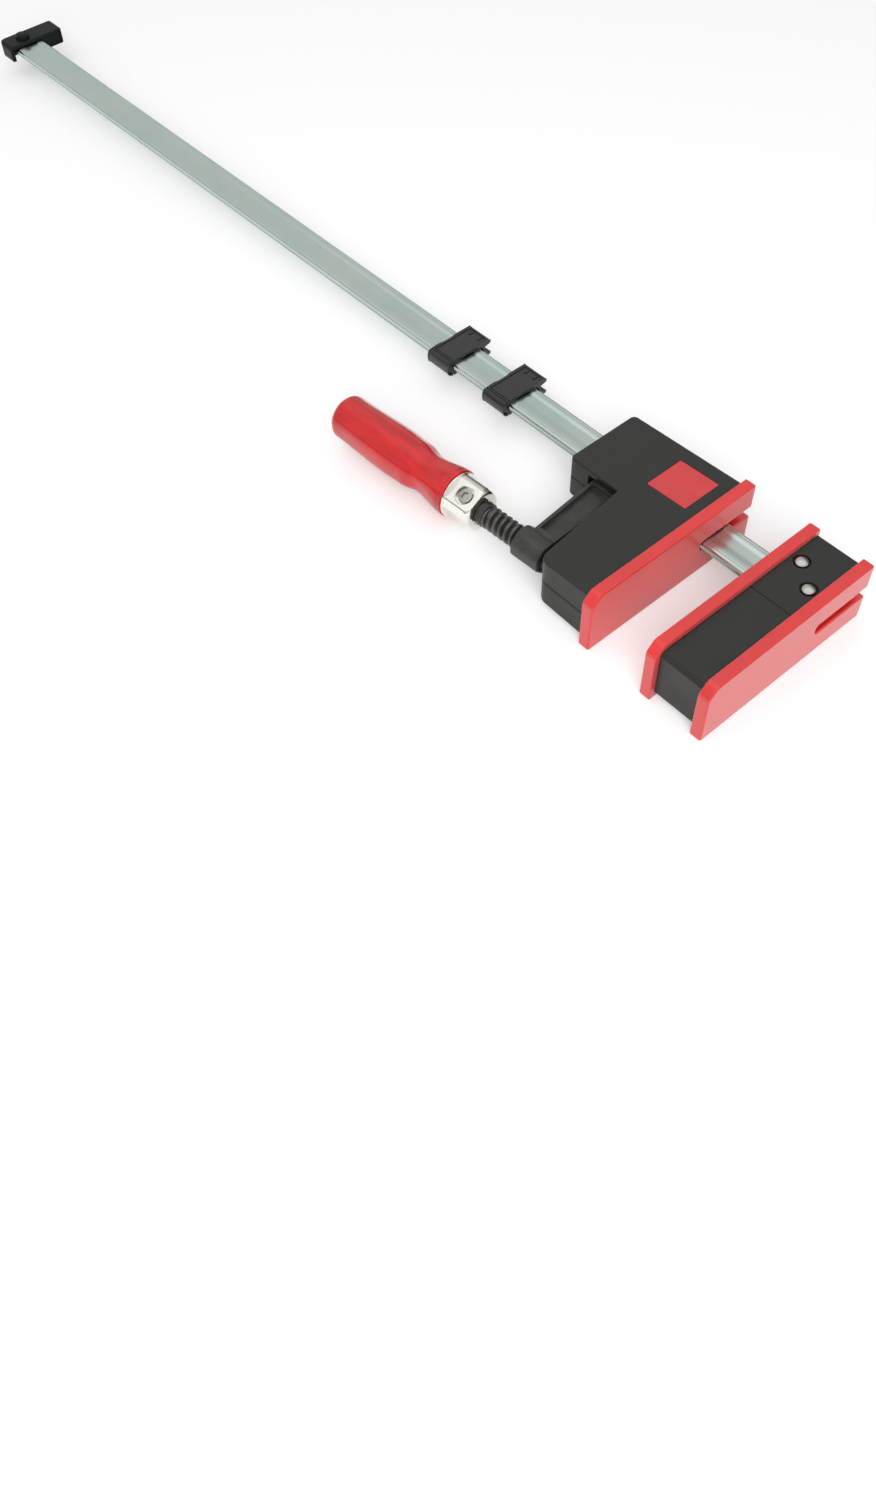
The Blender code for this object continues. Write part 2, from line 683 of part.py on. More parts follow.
def jaw_core():
    """The steel plate behind the moving pad, with the seat that the spindle pushes on."""
    end = HOUSING_END_INSET + SHELL_WALL + GAP - PAD_THROAT
    back = PAD_BACK - HOUSING_BACK_INSET - SHELL_WALL - GAP
    height = housing_height(-JAW_CORE_BACK) - SHELL_WALL - GAP
    plate = block("jaw_core", (-JAW_CORE_BACK, end, -height), (-CORE_FACE, back, height))
    low_y = max(BALL_Y - SEAT_HALF_WIDTH, end)
    seat = block(
        "seat", (-SEAT_FACE, low_y, -SEAT_HALF_WIDTH),
        (-JAW_CORE_BACK + CORE_PLATE / 2, BALL_Y + SEAT_HALF_WIDTH, SEAT_HALF_WIDTH),
    )
    fuse(plate, seat)
    tools = pegs(0, 1, PEG_RADIUS + GAP, PEG_LENGTH + GAP)
    tools.append(bar_hole(-JAW_CORE_BACK - OVERRUN, OVERRUN - CORE_FACE))
    tools.append(rod(
        THRUST_RADIUS + GAP, -SEAT_FACE - OVERRUN, SEAT_RECESS - SEAT_FACE, "X", (BALL_Y, 0), TURN_STEPS,
    ))
    return dress(cut(plate, *tools), CAST_STEEL)


def guide(name, front_x, length):
    """A plastic block that keeps the housing square on the bar."""
    height = housing_height(-front_x - length) - SHELL_WALL - GAP
    body = block(name, (-front_x - length, -GUIDE_SIDE, -height), (-front_x, GUIDE_SIDE, height))
    hole = bar_hole(-front_x - length - OVERRUN, OVERRUN - front_x)
    return dress(cut(body, hole), DARK_PLASTIC)


def thrust_plate():
    """The hardened disc that the pressure cup bears on."""
    disc = rod(THRUST_RADIUS, -THRUST_BACK - THRUST_THICKNESS, -THRUST_BACK, "X", (BALL_Y, 0), TURN_STEPS)
    disc.name = "thrust_plate"
    return dress(disc, HARD_STEEL, 30)


def spindle_retainer():
    """The plate behind the cup's flange that draws the jaw back with the spindle."""
    far = -RETAINER_FACE - RETAINER_THICKNESS
    height = housing_height(far) - SHELL_WALL - GAP
    low = (far, BALL_Y - RETAINER_HALF_WIDTH, -height)
    high = (-RETAINER_FACE, BALL_Y + RETAINER_HALF_WIDTH, height)
    plate = block("spindle_retainer", low, high)
    hole = rod(
        CUP_RADIUS + RETAINER_PLAY, far - OVERRUN, OVERRUN - RETAINER_FACE, "X", (BALL_Y, 0), TURN_STEPS,
    )
    return dress(cut(plate, hole), HARD_STEEL)


def pressure_cup():
    """The swivelling cup on the spindle's ball, about an axis through the ball."""
    centre = CUP_FLOOR + BALL_RADIUS + GAP
    socket = BALL_RADIUS + GAP
    mouth = math.acos((CUP_LENGTH - centre) / socket)
    profile = [
        (0, 0), (0, CUP_FLANGE_RADIUS), (-CUP_FLANGE, CUP_FLANGE_RADIUS),
        (-CUP_FLANGE, CUP_RADIUS), (-CUP_LENGTH, CUP_RADIUS),
    ]
    steps = 5
    for i in range(steps):
        angle = mouth + (math.pi - mouth) * i / steps
        profile.append((-centre - socket * math.cos(angle), socket * math.sin(angle)))
    profile.append((socket - centre, 0))
    cup = turned("pressure_cup", profile)
    return dress(move_mesh(cup, Matrix.Translation((centre, 0, 0))), HARD_STEEL, 40)


def arm_outline():
    """The arm's blade seen from above, from the boss to beyond the bar."""
    top = BAR_IN_ARM + EYE_HALF + ARM_HEAD_WALL
    return rounded([
        (-ARM_REAR_LOW, 0, 0), (ARM_FRONT, 0, 0), (ARM_FRONT, top, ARM_HEAD_ROUND),
        (-ARM_REAR_HIGH, top, ARM_HEAD_ROUND), (-ARM_REAR_HIGH, ARM_HEAD_START, 0),
    ])


def boss():
    """The threaded boss at the foot of the arm, round with soft flats."""
    corner = math.acos(BOSS_FLAT / BOSS_RADIUS)
    section = []
    for i in range(BOSS_SIDES):
        for turn in (-corner, corner):
            angle = 2 * math.pi * i / BOSS_SIDES + turn
            section.append((BOSS_RADIUS * math.cos(angle), BOSS_RADIUS * math.sin(angle)))
    small = inset(section, BOSS_CHAMFER)
    half = BOSS_LENGTH / 2
    rings = [
        across("X", small, -half), across("X", section, BOSS_CHAMFER - half),
        across("X", section, half - BOSS_CHAMFER), across("X", small, half),
    ]
    return loft("boss", rings)


def bite_places():
    """The two corners of the eye that grip the bar under load, along and across the spindle."""
    return [
        (ARM_FRONT - BITE_PIN_SETBACK, BAR_IN_ARM + EYE_HALF + BITE_PIN_SINK),
        (BITE_PIN_SETBACK - ARM_REAR_HIGH, BAR_IN_ARM - EYE_HALF - BITE_PIN_SINK),
    ]


def spring_pocket():
    """The pocket over the bar that holds the drag spring."""
    half = SPRING_LENGTH / 2 + GAP
    side = SPRING_WIDTH / 2 + GAP
    top = BAR_HALF_THICK + SPRING_RISE + SPRING_THICKNESS + GAP
    return block("pocket", (-half, BAR_IN_ARM - side, 0), (half, BAR_IN_ARM + side, top))


def sliding_arm():
    """The steel arm: boss, ribbed blade and the eye that rides on the bar."""
    arm = prism("sliding_arm", arm_outline(), -ARM_HALF_HEIGHT, ARM_HALF_HEIGHT)
    fuse(arm, boss())
    start = BOSS_RADIUS + ARM_RIB / 2
    end = ARM_HEAD_START
    slope = (ARM_REAR_HIGH - ARM_REAR_LOW) / ARM_HEAD_START
    web = [
        (ARM_RIB - ARM_REAR_LOW - slope * start, start), (ARM_FRONT - ARM_RIB, start),
        (ARM_FRONT - ARM_RIB, end), (ARM_RIB - ARM_REAR_HIGH, end),
    ]
    tools = []
    for side in (-1, 1):
        levels = sorted((side * ARM_WEB_HALF, side * (ARM_HALF_HEIGHT + OVERRUN)))
        tools.append(prism("web", web, levels[0], levels[1]))
    reach = ARM_FRONT + ARM_REAR_HIGH
    eye_low = (-reach, BAR_IN_ARM - EYE_HALF, -SLOT_HALF)
    eye_high = (reach, BAR_IN_ARM + EYE_HALF, SLOT_HALF)
    tools.append(block("eye", eye_low, eye_high))
    tools.append(spring_pocket())
    tall = ARM_HALF_HEIGHT + OVERRUN
    tools += [rod(BITE_PIN_RADIUS + GAP, -tall, tall, centre=place) for place in bite_places()]
    tools.append(rod(BORE_RADIUS, -BOSS_LENGTH, BOSS_LENGTH, "X", steps=TURN_STEPS))
    return dress(cut(arm, *tools), BLACK_STEEL, 25)


def bite_pin(name, place):
    """A hardened pin across the eye that bites the bar's edge."""
    pin = rod(BITE_PIN_RADIUS, GAP - ARM_HALF_HEIGHT, ARM_HALF_HEIGHT - GAP, centre=place)
    pin.name = name
    return dress(pin, HARD_STEEL, 30)


def drag_spring():
    """The bowed leaf that keeps the loose arm from sliding by itself."""
    steps = 10
    upper = []
    for i in range(steps + 1):
        share = 2 * i / steps - 1
        x = share * SPRING_LENGTH / 2
        upper.append((x, BAR_HALF_THICK + SPRING_RISE * share * share + SPRING_THICKNESS))
    lower = [(x, z - SPRING_THICKNESS) for x, z in reversed(upper)]
    outline = [(z, x) for x, z in lower + upper]
    half = SPRING_WIDTH / 2
    leaf = prism("arm_drag_spring", outline, BAR_IN_ARM - half, BAR_IN_ARM + half, "Y")
    return dress(leaf, HARD_STEEL, 30)


def thread_profile():
    """One turn of the thread: share of the pitch, and share of the thread's depth."""
    shares = [(0, 0), (0.2, 0), (0.42, 1), (0.78, 1)]
    core = SPINDLE_RADIUS - THREAD_DEPTH
    return [(share * THREAD_PITCH, core + depth * THREAD_DEPTH) for share, depth in shares]


def threaded_rod():
    """A right-hand thread as one helical skin, running out to the core at both ends."""
    bm = bmesh.new()
    profile = thread_profile()
    core = profile[0][1]
    turns = round((THREAD_FRONT + THREAD_REAR) / THREAD_PITCH) - 1
    rows = turns * len(profile) + 1
    grid = []
    for row in range(rows + len(profile)):
        turn, place = divmod(row, len(profile))
        offset, crest = profile[place]
        ring = []
        for step in range(THREAD_STEPS):
            along = turn + step / THREAD_STEPS
            fade = max(0.0, min(1.0, 2 * along, 2 * (turns + 1 - along)))
            radius = core + (crest - core) * fade
            x = THREAD_PITCH * along + offset - THREAD_REAR
            angle = 2 * math.pi * step / THREAD_STEPS
            ring.append(bm.verts.new((x, radius * math.cos(angle), radius * math.sin(angle))))
        grid.append(ring)
    ahead = len(profile)
    for row in range(rows - 1):
        here, beyond = grid[row], grid[row + 1]
        for step in range(THREAD_STEPS - 1):
            bm.faces.new((here[step], here[step + 1], beyond[step + 1], beyond[step]))
        last = THREAD_STEPS - 1
        bm.faces.new((here[last], grid[row + ahead][0], grid[row + ahead + 1][0], beyond[last]))
    for start, outermost in ((0, min), (rows - 1, max)):
        edge = grid[start] + [grid[start + ahead - i][0] for i in range(ahead)]
        hub = bm.verts.new((outermost(vertex.co.x for vertex in edge), 0, 0))
        for first, second in zip(edge, edge[1:] + edge[:1]):
            bm.faces.new((hub, first, second))
    spare = [vertex for vertex in bm.verts if not vertex.link_faces]
    bmesh.ops.delete(bm, geom=spare, context="VERTS")
    return new_object("spindle", bm)


def spindle():
    """The screw: ball, neck, thread, plain undercut and the tang in the handle."""
    screw = threaded_rod()
    ball = [(BALL_CENTRE + BALL_RADIUS, 0)]
    steps = 6
    stop = math.pi - math.asin(NECK_RADIUS / BALL_RADIUS)
    for i in range(1, steps + 1):
        angle = stop * i / steps
        ball.append((BALL_CENTRE + BALL_RADIUS * math.cos(angle), BALL_RADIUS * math.sin(angle)))
    core = SPINDLE_RADIUS - THREAD_DEPTH
    front = THREAD_FRONT - THREAD_PITCH
    profile = ball + [(front, NECK_RADIUS), (front - OVERRUN, 0)]
    tip = turned("tip", profile, SMALL_STEPS)
    start = THREAD_REAR - THREAD_PITCH * 2
    shoulder = GAP - FERRULE_FRONT
    shank = [
        (-start, 0), (-start, core - GAP), (-SHOULDER_FRONT, core - GAP),
        (-SHOULDER_FRONT, SHOULDER_RADIUS),
        (shoulder, SHOULDER_RADIUS), (shoulder, TANG_RADIUS), (-FERRULE_REAR - TANG_LENGTH, TANG_RADIUS),
        (-FERRULE_REAR - TANG_LENGTH, 0),
    ]
    tail = turned("tail", shank, SMALL_STEPS)
    fuse(screw, tip, tail)
    drill = Matrix.Translation((cross_x(), 0, 0)) @ Matrix.Rotation(FERRULE_TURN, 4, "X")
    hole = rod(CROSS_SHANK_RADIUS + GAP, -FERRULE_RADIUS, FERRULE_RADIUS)
    return dress(cut(screw, move_mesh(hole, drill)), BLACK_STEEL, 30)


def cross_x():
    """Where the cross screw goes through the ferrule, a little behind its middle."""
    return -(FERRULE_FRONT + FERRULE_REAR) / 2


def ferrule_section(radius, flat):
    """A round section with four flats, which end where the radius is smaller than they are."""
    corner = math.acos(FERRULE_FLAT / FERRULE_RADIUS)
    arc = math.pi / 2 - 2 * corner
    turns = [corner * i / ARC_STEPS for i in range(-ARC_STEPS, ARC_STEPS + 1)]
    turns += [corner + arc * i / ARC_STEPS for i in range(1, ARC_STEPS)]
    points = []
    for quarter in range(4):
        for turn in turns:
            reach = min(radius, flat / max(math.cos(turn), math.sin(turn)))
            angle = quarter * math.pi / 2 + turn
            points.append((reach * math.cos(angle), reach * math.sin(angle)))
    return points


def handle_ferrule():
    """The nickel-plated sleeve between spindle and handle, with four flats."""
    rear = ferrule_section(FERRULE_RADIUS - FERRULE_EDGE, FERRULE_FLAT - FERRULE_EDGE)
    rings = [across("X", rear, -FERRULE_REAR)]
    section = ferrule_section(FERRULE_RADIUS, FERRULE_FLAT)
    rings.append(across("X", section, FERRULE_EDGE - FERRULE_REAR))
    steps = ARC_STEPS + 1
    for i in range(steps + 1):
        radius = FERRULE_RADIUS + (FERRULE_NOSE_RADIUS - FERRULE_RADIUS) * i / steps
        place = FERRULE_NOSE * (i / steps - 1) - FERRULE_FRONT
        rings.append(across("X", ferrule_section(radius, FERRULE_FLAT), place))
    sleeve = loft("handle_ferrule", rings)
    place = (cross_x(), 0)
    bore = rod(TANG_RADIUS + GAP, -FERRULE_REAR - OVERRUN, OVERRUN - FERRULE_FRONT, "X")
    seat = rod(CROSS_SEAT_RADIUS, CROSS_SEAT, FERRULE_RADIUS, centre=place, steps=TURN_STEPS)
    hole = rod(CROSS_SHANK_RADIUS + GAP, 0, FERRULE_RADIUS, centre=place)
    cut(sleeve, bore, seat, hole)
    return dress(move_mesh(sleeve, Matrix.Rotation(FERRULE_TURN, 4, "X")), NICKEL, 30)


def cross_screw():
    """The socket screw that locks ferrule and spindle together."""
    under = CROSS_SEAT + GAP
    top = CROSS_SEAT + CROSS_HEAD_HEIGHT
    profile = [
        (-CROSS_REACH, 0), (-CROSS_REACH, CROSS_SHANK_RADIUS), (under, CROSS_SHANK_RADIUS),
        (under, CROSS_HEAD_RADIUS), (top - GAP, CROSS_HEAD_RADIUS), (top, CROSS_HEAD_RADIUS - GAP), (top, 0),
    ]
    screw = turned("cross_screw", profile, TURN_STEPS)
    cut(screw, rod(HEX_RADIUS, top - HEX_DEPTH, top + OVERRUN, "X", steps=6))
    stand = Matrix.Rotation(FERRULE_TURN, 4, "X") @ Matrix.Translation((cross_x(), 0, 0))
    move_mesh(screw, stand @ Matrix.Rotation(-math.pi / 2, 4, "Y"))
    return dress(screw, NICKEL, 30)


def handle_profile():
    """The handle's radius along its length: flared mouth, neck, bulge and domed end."""
    length = HANDLE_LENGTH
    neck = NECK_SHARE * length
    shoulder = SHOULDER_SHARE * length
    bulge = BULGE_SHARE * length
    end = END_SHARE * length
    points = [(0, HANDLE_MOUTH - HANDLE_RIM), (HANDLE_RIM, HANDLE_MOUTH)]
    points += ease((HANDLE_RIM, HANDLE_MOUTH), (neck, HANDLE_NECK), 4)
    points += ease((neck, HANDLE_NECK), (shoulder, HANDLE_BULGE - HANDLE_FLATS), 4)
    points += [(bulge, HANDLE_BULGE)]
    points += [((bulge + end) / 2, (HANDLE_BULGE + HANDLE_END) / 2 + HANDLE_FLATS), (end, HANDLE_END)]
    corner = length - end
    for angle in (0.45, 0.9, 1.3):
        reach = end + (corner - HANDLE_RIM) * math.sin(angle)
        points.append((reach, HANDLE_END - HANDLE_DOME * (1 - math.cos(angle)) * 2))
    return points


def ease(start, end, steps):
    """Points of a smooth S between two places on a profile, without the first."""
    points = []
    for i in range(1, steps + 1):
        share = i / steps
        blend = share * share * (3 - 2 * share)
        points.append((start[0] + (end[0] - start[0]) * share, start[1] + (end[1] - start[1]) * blend))
    return points


def wood_handle():
    """The lacquered handle, turned with soft flats."""
    steps = 2 * SMALL_STEPS
    rings = []
    for depth, radius in handle_profile():
        ring = []
        for i in range(steps):
            angle = 2 * math.pi * i / steps
            reach = radius - HANDLE_FLATS * (1 + math.cos(HANDLE_SIDES * angle)) / 2
            ring.append((-HANDLE_FRONT - depth, reach * math.cos(angle), reach * math.sin(angle)))
        rings.append(ring)
    handle = loft("wood_handle", rings)
    depth = FERRULE_REAR + TANG_LENGTH + GAP
    bore = rod(TANG_RADIUS + GAP, -depth, OVERRUN - HANDLE_FRONT, "X")
    return dress(cut(handle, bore), HANDLE_RED, 40)


def end_cap():
    """The plastic cap on the tail of the bar, with the foot at the back of the jaws."""
    rear = -CAP_FRONT - CAP_LENGTH
    outline = rounded([
        (rear, -CAP_SIDE, CAP_SIDE_ROUND), (-CAP_FRONT, -CAP_SIDE, CAP_EDGE),
        (-CAP_FRONT, PAD_BACK, CAP_EDGE), (rear, PAD_BACK, CAP_EDGE * 2),
    ])
    small = inset(outline, CAP_EDGE / 2)
    height = CAP_HALF_HEIGHT
    rings = [
        across("Z", small, -height), across("Z", outline, CAP_EDGE / 2 - height),
        across("Z", outline, height - CAP_EDGE / 2), across("Z", small, height),
    ]
    cap = loft("end_cap", rings)
    reach = BAR_HALF + GAP
    level = BAR_HALF_THICK + GAP
    socket = block("socket", (-BAR_TAIL - GAP, -reach, -level), (OVERRUN - CAP_FRONT, reach, level))
    leg_slot = block(
        "leg_slot", (-CAP_FRONT - CAP_LEG_SLOT, CAP_LEG - CAP_SIDE, -height - OVERRUN),
        (OVERRUN - CAP_FRONT, -BAR_HALF, BAR_HALF_THICK),
    )
    hole = rod(CAP_PIN_RADIUS + GAP, -height - OVERRUN, height + OVERRUN, centre=(-CAP_PIN_X, CAP_PIN_Y))
    return dress(cut(cap, socket, leg_slot, hole), BLACK_PLASTIC, 25)


def end_cap_pin():
    """The pin with a domed head that holds the cap on the bar."""
    seat = CAP_HALF_HEIGHT + GAP
    profile = [
        (GAP - CAP_HALF_HEIGHT, 0), (GAP - CAP_HALF_HEIGHT, CAP_PIN_RADIUS), (seat, CAP_PIN_RADIUS),
        (seat, CAP_PIN_HEAD_RADIUS),
    ]
    for angle in (0.4, 0.8, 1.2):
        profile.append((seat + CAP_PIN_HEAD_HEIGHT * math.sin(angle), CAP_PIN_HEAD_RADIUS * math.cos(angle)))
    profile.append((seat + CAP_PIN_HEAD_HEIGHT, 0))
    pin = turned("end_cap_pin", profile, SMALL_STEPS)
    stand = Matrix.Translation((-CAP_PIN_X, CAP_PIN_Y, 0)) @ Matrix.Rotation(-math.pi / 2, 4, "Y")
    return dress(move_mesh(pin, stand), DARK_PLASTIC, 40)


def clip_outline():
    """The clip's section in Y and Z: a channel with snap lips past the bar's back edge."""
    inner = SLOT_HALF
    outer = inner + CLIP_WALL
    edge = BAR_HALF + BAR_PLAY
    lip = edge + CLIP_LIP_RUN
    corner = CLIP_CORNER
    upper = [(edge, inner), (lip, CLIP_LIP_GAP), (CLIP_BACK, inner), (CLIP_BACK, outer)]
    lower = [(y, -z) for y, z in reversed(upper)]
    wall = [(-edge, -inner), (-edge, inner)]
    shell = [(-CLIP_SIDE, outer, corner), (-CLIP_SIDE, -outer, corner)]
    return rounded([(y, z, 0) for y, z in upper] + shell + [(y, z, 0) for y, z in lower + wall])


def support_clip(name):
    """A plastic clip that snaps over the bar, about its own centre."""
    half = CLIP_LENGTH / 2
    return dress(prism(name, clip_outline(), -half, half, "X"), BLACK_PLASTIC, 25)


def empty(name, location, parent=None, turn=0.0):
    """A frame that pieces hang from."""
    frame = bpy.data.objects.new(name, None)
    frame.location = location
    frame.rotation_euler = (0, 0, turn)
    frame.parent = parent
    bpy.context.scene.collection.objects.link(frame)
    return frame


def hang(parent, *pieces):
    """Parent pieces to a frame whose space they were modelled in."""
    for piece in pieces:
        piece.parent = parent


def stand_on_origin(frame):
    """Move the whole clamp so that the bottom centre of its box is the origin."""
    bpy.context.view_layer.update()
    corners = []
    for item in bpy.data.objects:
        if item.type == "MESH":
            corners += [item.matrix_world @ vertex.co for vertex in item.data.vertices]
    low = [min(corner[i] for corner in corners) for i in range(3)]
    high = [max(corner[i] for corner in corners) for i in range(3)]
    frame.location = (-(low[0] + high[0]) / 2, -(low[1] + high[1]) / 2, -low[2])
    bpy.context.view_layer.update()


def build_fixed_end(clamp):
    """Bar, fixed jaw and end cap."""
    pieces = [rail_bar(), fixed_jaw_body(), fixed_jaw_core(), end_cap(), end_cap_pin()]
    names = ("rivet_front", "rivet_rear")
    pieces += [rivet(name, place) for name, place in zip(names, rivet_places())]
    pieces.append(pad("fixed_face_pad", 0, -1))
    pieces.append(pad("fixed_back_pad", 2 * PAD_THICKNESS + FIXED_JAW_LENGTH, 1))
    hang(clamp, *pieces)


def build_moving_jaw(clamp):
    """The moving jaw, modelled from its own clamping face."""
    frame = empty("moving_jaw_frame", (-JAW_GAP, 0, 0), clamp)
    pieces = [jaw_shell_top(), jaw_shell_bottom(), jaw_label(), jaw_core(), pad("moving_face_pad", 0, 1)]
    pieces.append(guide("front_bar_guide", JAW_CORE_BACK + GAP, FRONT_GUIDE_LENGTH))
    pieces.append(guide("rear_bar_guide", REAR_GUIDE_FRONT, REAR_GUIDE_LENGTH))
    pieces += [thrust_plate(), spindle_retainer()]
    for number, place in enumerate(post_places(), 1):
        pieces.append(shell_screw(f"shell_screw_{number}", place))
    hang(frame, *pieces)


def build_arm(clamp):
    """The sliding arm and what it holds, in a frame tilted with the spindle."""
    frame = empty("arm_frame", (-JAW_GAP - BOSS_X, -BOSS_Y, 0), clamp, TILT)
    names = ("bite_pin_front", "bite_pin_rear")
    pins = [bite_pin(name, place) for name, place in zip(names, bite_places())]
    hang(frame, sliding_arm(), drag_spring(), *pins)


def build_spindle(clamp):
    """Spindle, handle and pressure cup."""
    frame = empty("spindle_frame", (-JAW_GAP - BOSS_X, -BOSS_Y, 0), clamp, TILT)
    hang(frame, spindle(), handle_ferrule(), cross_screw(), wood_handle())
    ball = empty("ball_frame", (-JAW_GAP - BALL_X, BALL_Y, 0), clamp)
    hang(ball, pressure_cup())


def build_clips(clamp):
    """The two support clips parked behind the moving jaw."""
    for name, place in (("support_clip_front", CLIP_FRONT_X), ("support_clip_rear", CLIP_REAR_X)):
        clip = support_clip(name)
        clip.location = (-place, 0, 0)
        clip.parent = clamp


def main():
    clear_scene()
    clamp = empty("clamp", (0, 0, 0))
    build_fixed_end(clamp)
    build_moving_jaw(clamp)
    build_arm(clamp)
    build_spindle(clamp)
    build_clips(clamp)
    stand_on_origin(clamp)


main()
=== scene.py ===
"""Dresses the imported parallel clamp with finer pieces, procedural finishes, a floor, light and a camera.

Shop coordinates have the fixed jaw's clamping face at x = 0 and the bar's centre at
y = z = 0. X runs along the bar towards the fixed jaw, and the jaws reach towards -Y.
"""

import json
import math

import bmesh
import bpy
from mathutils import Euler, Matrix, Vector


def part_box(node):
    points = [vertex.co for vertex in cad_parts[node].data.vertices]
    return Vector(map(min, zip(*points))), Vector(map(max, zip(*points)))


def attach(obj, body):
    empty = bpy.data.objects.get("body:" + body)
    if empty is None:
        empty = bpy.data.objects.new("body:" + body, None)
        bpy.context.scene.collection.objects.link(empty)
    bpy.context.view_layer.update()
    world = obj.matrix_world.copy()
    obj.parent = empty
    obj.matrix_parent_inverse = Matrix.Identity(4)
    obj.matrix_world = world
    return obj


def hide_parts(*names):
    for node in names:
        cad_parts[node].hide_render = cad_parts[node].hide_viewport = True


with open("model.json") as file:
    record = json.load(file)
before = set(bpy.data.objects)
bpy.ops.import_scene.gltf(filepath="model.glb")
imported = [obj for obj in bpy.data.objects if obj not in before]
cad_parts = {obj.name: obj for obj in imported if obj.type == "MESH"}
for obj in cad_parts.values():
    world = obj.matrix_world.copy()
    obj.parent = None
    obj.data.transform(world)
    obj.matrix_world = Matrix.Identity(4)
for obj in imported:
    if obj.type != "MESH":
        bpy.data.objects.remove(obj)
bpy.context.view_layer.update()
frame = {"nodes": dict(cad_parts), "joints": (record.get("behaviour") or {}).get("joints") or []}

bl_info = {
    "name": "Parallel clamp dressing",
    "version": (1, 0, 0),
    "blender": (4, 5, 0),
    "location": "3D View > Sidebar > Clamp",
    "description": "Builds the looks of a parallel clamp round its packed solids",
    "category": "Object",
}

MM = 0.001
DEGREE = math.pi / 180
RIGHT_ANGLE = math.pi / 2
GAP = 0.3 * MM
PLAY = 0.35 * MM
OVERRUN = 2.0 * MM

# Steps of arcs and of turned pieces
EDGE_STEPS = 4
ARC_STEPS = 8
TURN_STEPS = 64
HANDLE_STEPS = 128
THREAD_STEPS = 48
ARCH_STEPS = 256

# Places read from the frame
BAR_LOW, BAR_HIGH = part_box("rail_bar")
FACE_LOW, FACE_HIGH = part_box("fixed_face_pad")
BACK_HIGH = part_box("fixed_back_pad")[1]
MOVING_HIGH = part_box("moving_face_pad")[1]
CAP_LOW, CAP_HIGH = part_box("end_cap")
CUP_LOW, CUP_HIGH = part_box("pressure_cup")
LABEL_LOW, LABEL_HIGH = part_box("jaw_label")
SHOP = Vector((FACE_LOW.x, (BAR_LOW.y + BAR_HIGH.y) / 2, (BAR_LOW.z + BAR_HIGH.z) / 2))
TURN_JOINT = next(joint for joint in frame["joints"] if joint["name"] == "handle_turn")
BOSS = Vector(TURN_JOINT["pos_m"])
SCREW_AXIS = Vector(TURN_JOINT["axis"])
TILT = math.atan2(SCREW_AXIS.y, SCREW_AXIS.x)
TO_SHOP = Matrix.Translation(SHOP)
TO_JAW = Matrix.Translation((MOVING_HIGH.x, SHOP.y, SHOP.z))
TO_SCREW = Matrix.Translation(BOSS) @ Matrix.Rotation(TILT, 4, "Z")

# Bar
BAR_HALF = (BAR_HIGH.y - BAR_LOW.y) / 2
BAR_HALF_THICK = (BAR_HIGH.z - BAR_LOW.z) / 2
BAR_TAIL = SHOP.x - BAR_LOW.x
BAR_HEAD = BAR_HIGH.x - SHOP.x
BAR_CORNER = 1.5 * MM
EDGE_LINE_Y = 8.3 * MM
EDGE_LINE_HALF = 0.35 * MM
EDGE_LINE_DEPTH = 0.12 * MM
CHANNEL_HALF = 6.8 * MM
CHANNEL_FLAT = 3.9 * MM
CHANNEL_SOFT_FLAT = 0.8 * MM
CHANNEL_DEPTH = 0.5 * MM
GROOVE_HALF = 1.15 * MM
GROOVE_DEPTH = 0.6 * MM
TOOTH_HEIGHT = 0.55 * MM
TOOTH_ROOT = 1.5 * MM
TOOTH_OVERLAP = 0.1 * MM
SLOT_HALF = BAR_HALF_THICK + PLAY

# Jaw pads, with shares of the pad's edge rounding for its corners and its rear rim, and a share
# of the slot's half width for the slot's inner corners
PAD_THROAT = SHOP.y - FACE_LOW.y
PAD_BACK = FACE_HIGH.y - SHOP.y
PAD_TOP = FACE_HIGH.z - SHOP.z
PAD_THICKNESS = 6.7 * MM
PAD_CORNER_CUT = 5.5 * MM
PAD_CORNER_SHARE = 1.3
PAD_REAR_SHARE = 0.4
SLOT_ROUND_SHARE = 0.7
PAD_BACK_FACE = PAD_THICKNESS + GAP

# Fixed jaw
FIXED_LENGTH = BACK_HIGH.x - FACE_LOW.x - 2 * PAD_THICKNESS
FIXED_TOP = 15.9 * MM
FIXED_END_INSET = 3.0 * MM
FIXED_BACK_INSET = 2.1 * MM
FIXED_END_CHAMFER = 2.5 * MM
FIXED_WALL = 3.0 * MM
STEP_LINE_Y = -25.5 * MM
STEP_LINE_WIDTH = 0.5 * MM
STEP_LINE_DEPTH = 0.25 * MM
RIVETS = ((13.3 * MM, 5.8 * MM), (27.3 * MM, -5.8 * MM))
RIVET_RADIUS = 2.5 * MM
RIVET_HEAD_RADIUS = 3.75 * MM
RIVET_HEAD_HEIGHT = 2.4 * MM
RIVET_RIM = 0.7 * MM
RIVET_RECESS_RADIUS = 4.9 * MM
RIVET_RECESS_DEPTH = 1.6 * MM

# Moving jaw housing, measured back from its clamping face, with the places of its screws
HOUSING_LENGTH = 83.9 * MM
HOUSING_REAR_HALF = 12.9 * MM
HOUSING_FRONT_HALF = 16.2 * MM
HOUSING_BACK_INSET = 2.1 * MM
HOUSING_END_INSET = 3.4 * MM
HOUSING_REAR_SIDE = 23.2 * MM
NOTCH_X = 48.3 * MM
NOTCH_Y = 24.2 * MM
THROAT_END_X = 41.0 * MM
HOUSING_CORNER = 3.2 * MM
HOUSING_END_ROUND = 7.0 * MM
SHELL_WALL = 3.0 * MM
ARM_SLOT_X = 69.4 * MM
ARM_SLOT_HALF = 10.0 * MM
POCKET_RADIUS = 10.2 * MM
POCKET_DEPTH = 11.8 * MM
SEAM_WIDTH = 0.5 * MM
SCREW_HEAD_RADIUS = 2.8 * MM
SCREW_HEAD_HEIGHT = 1.8 * MM
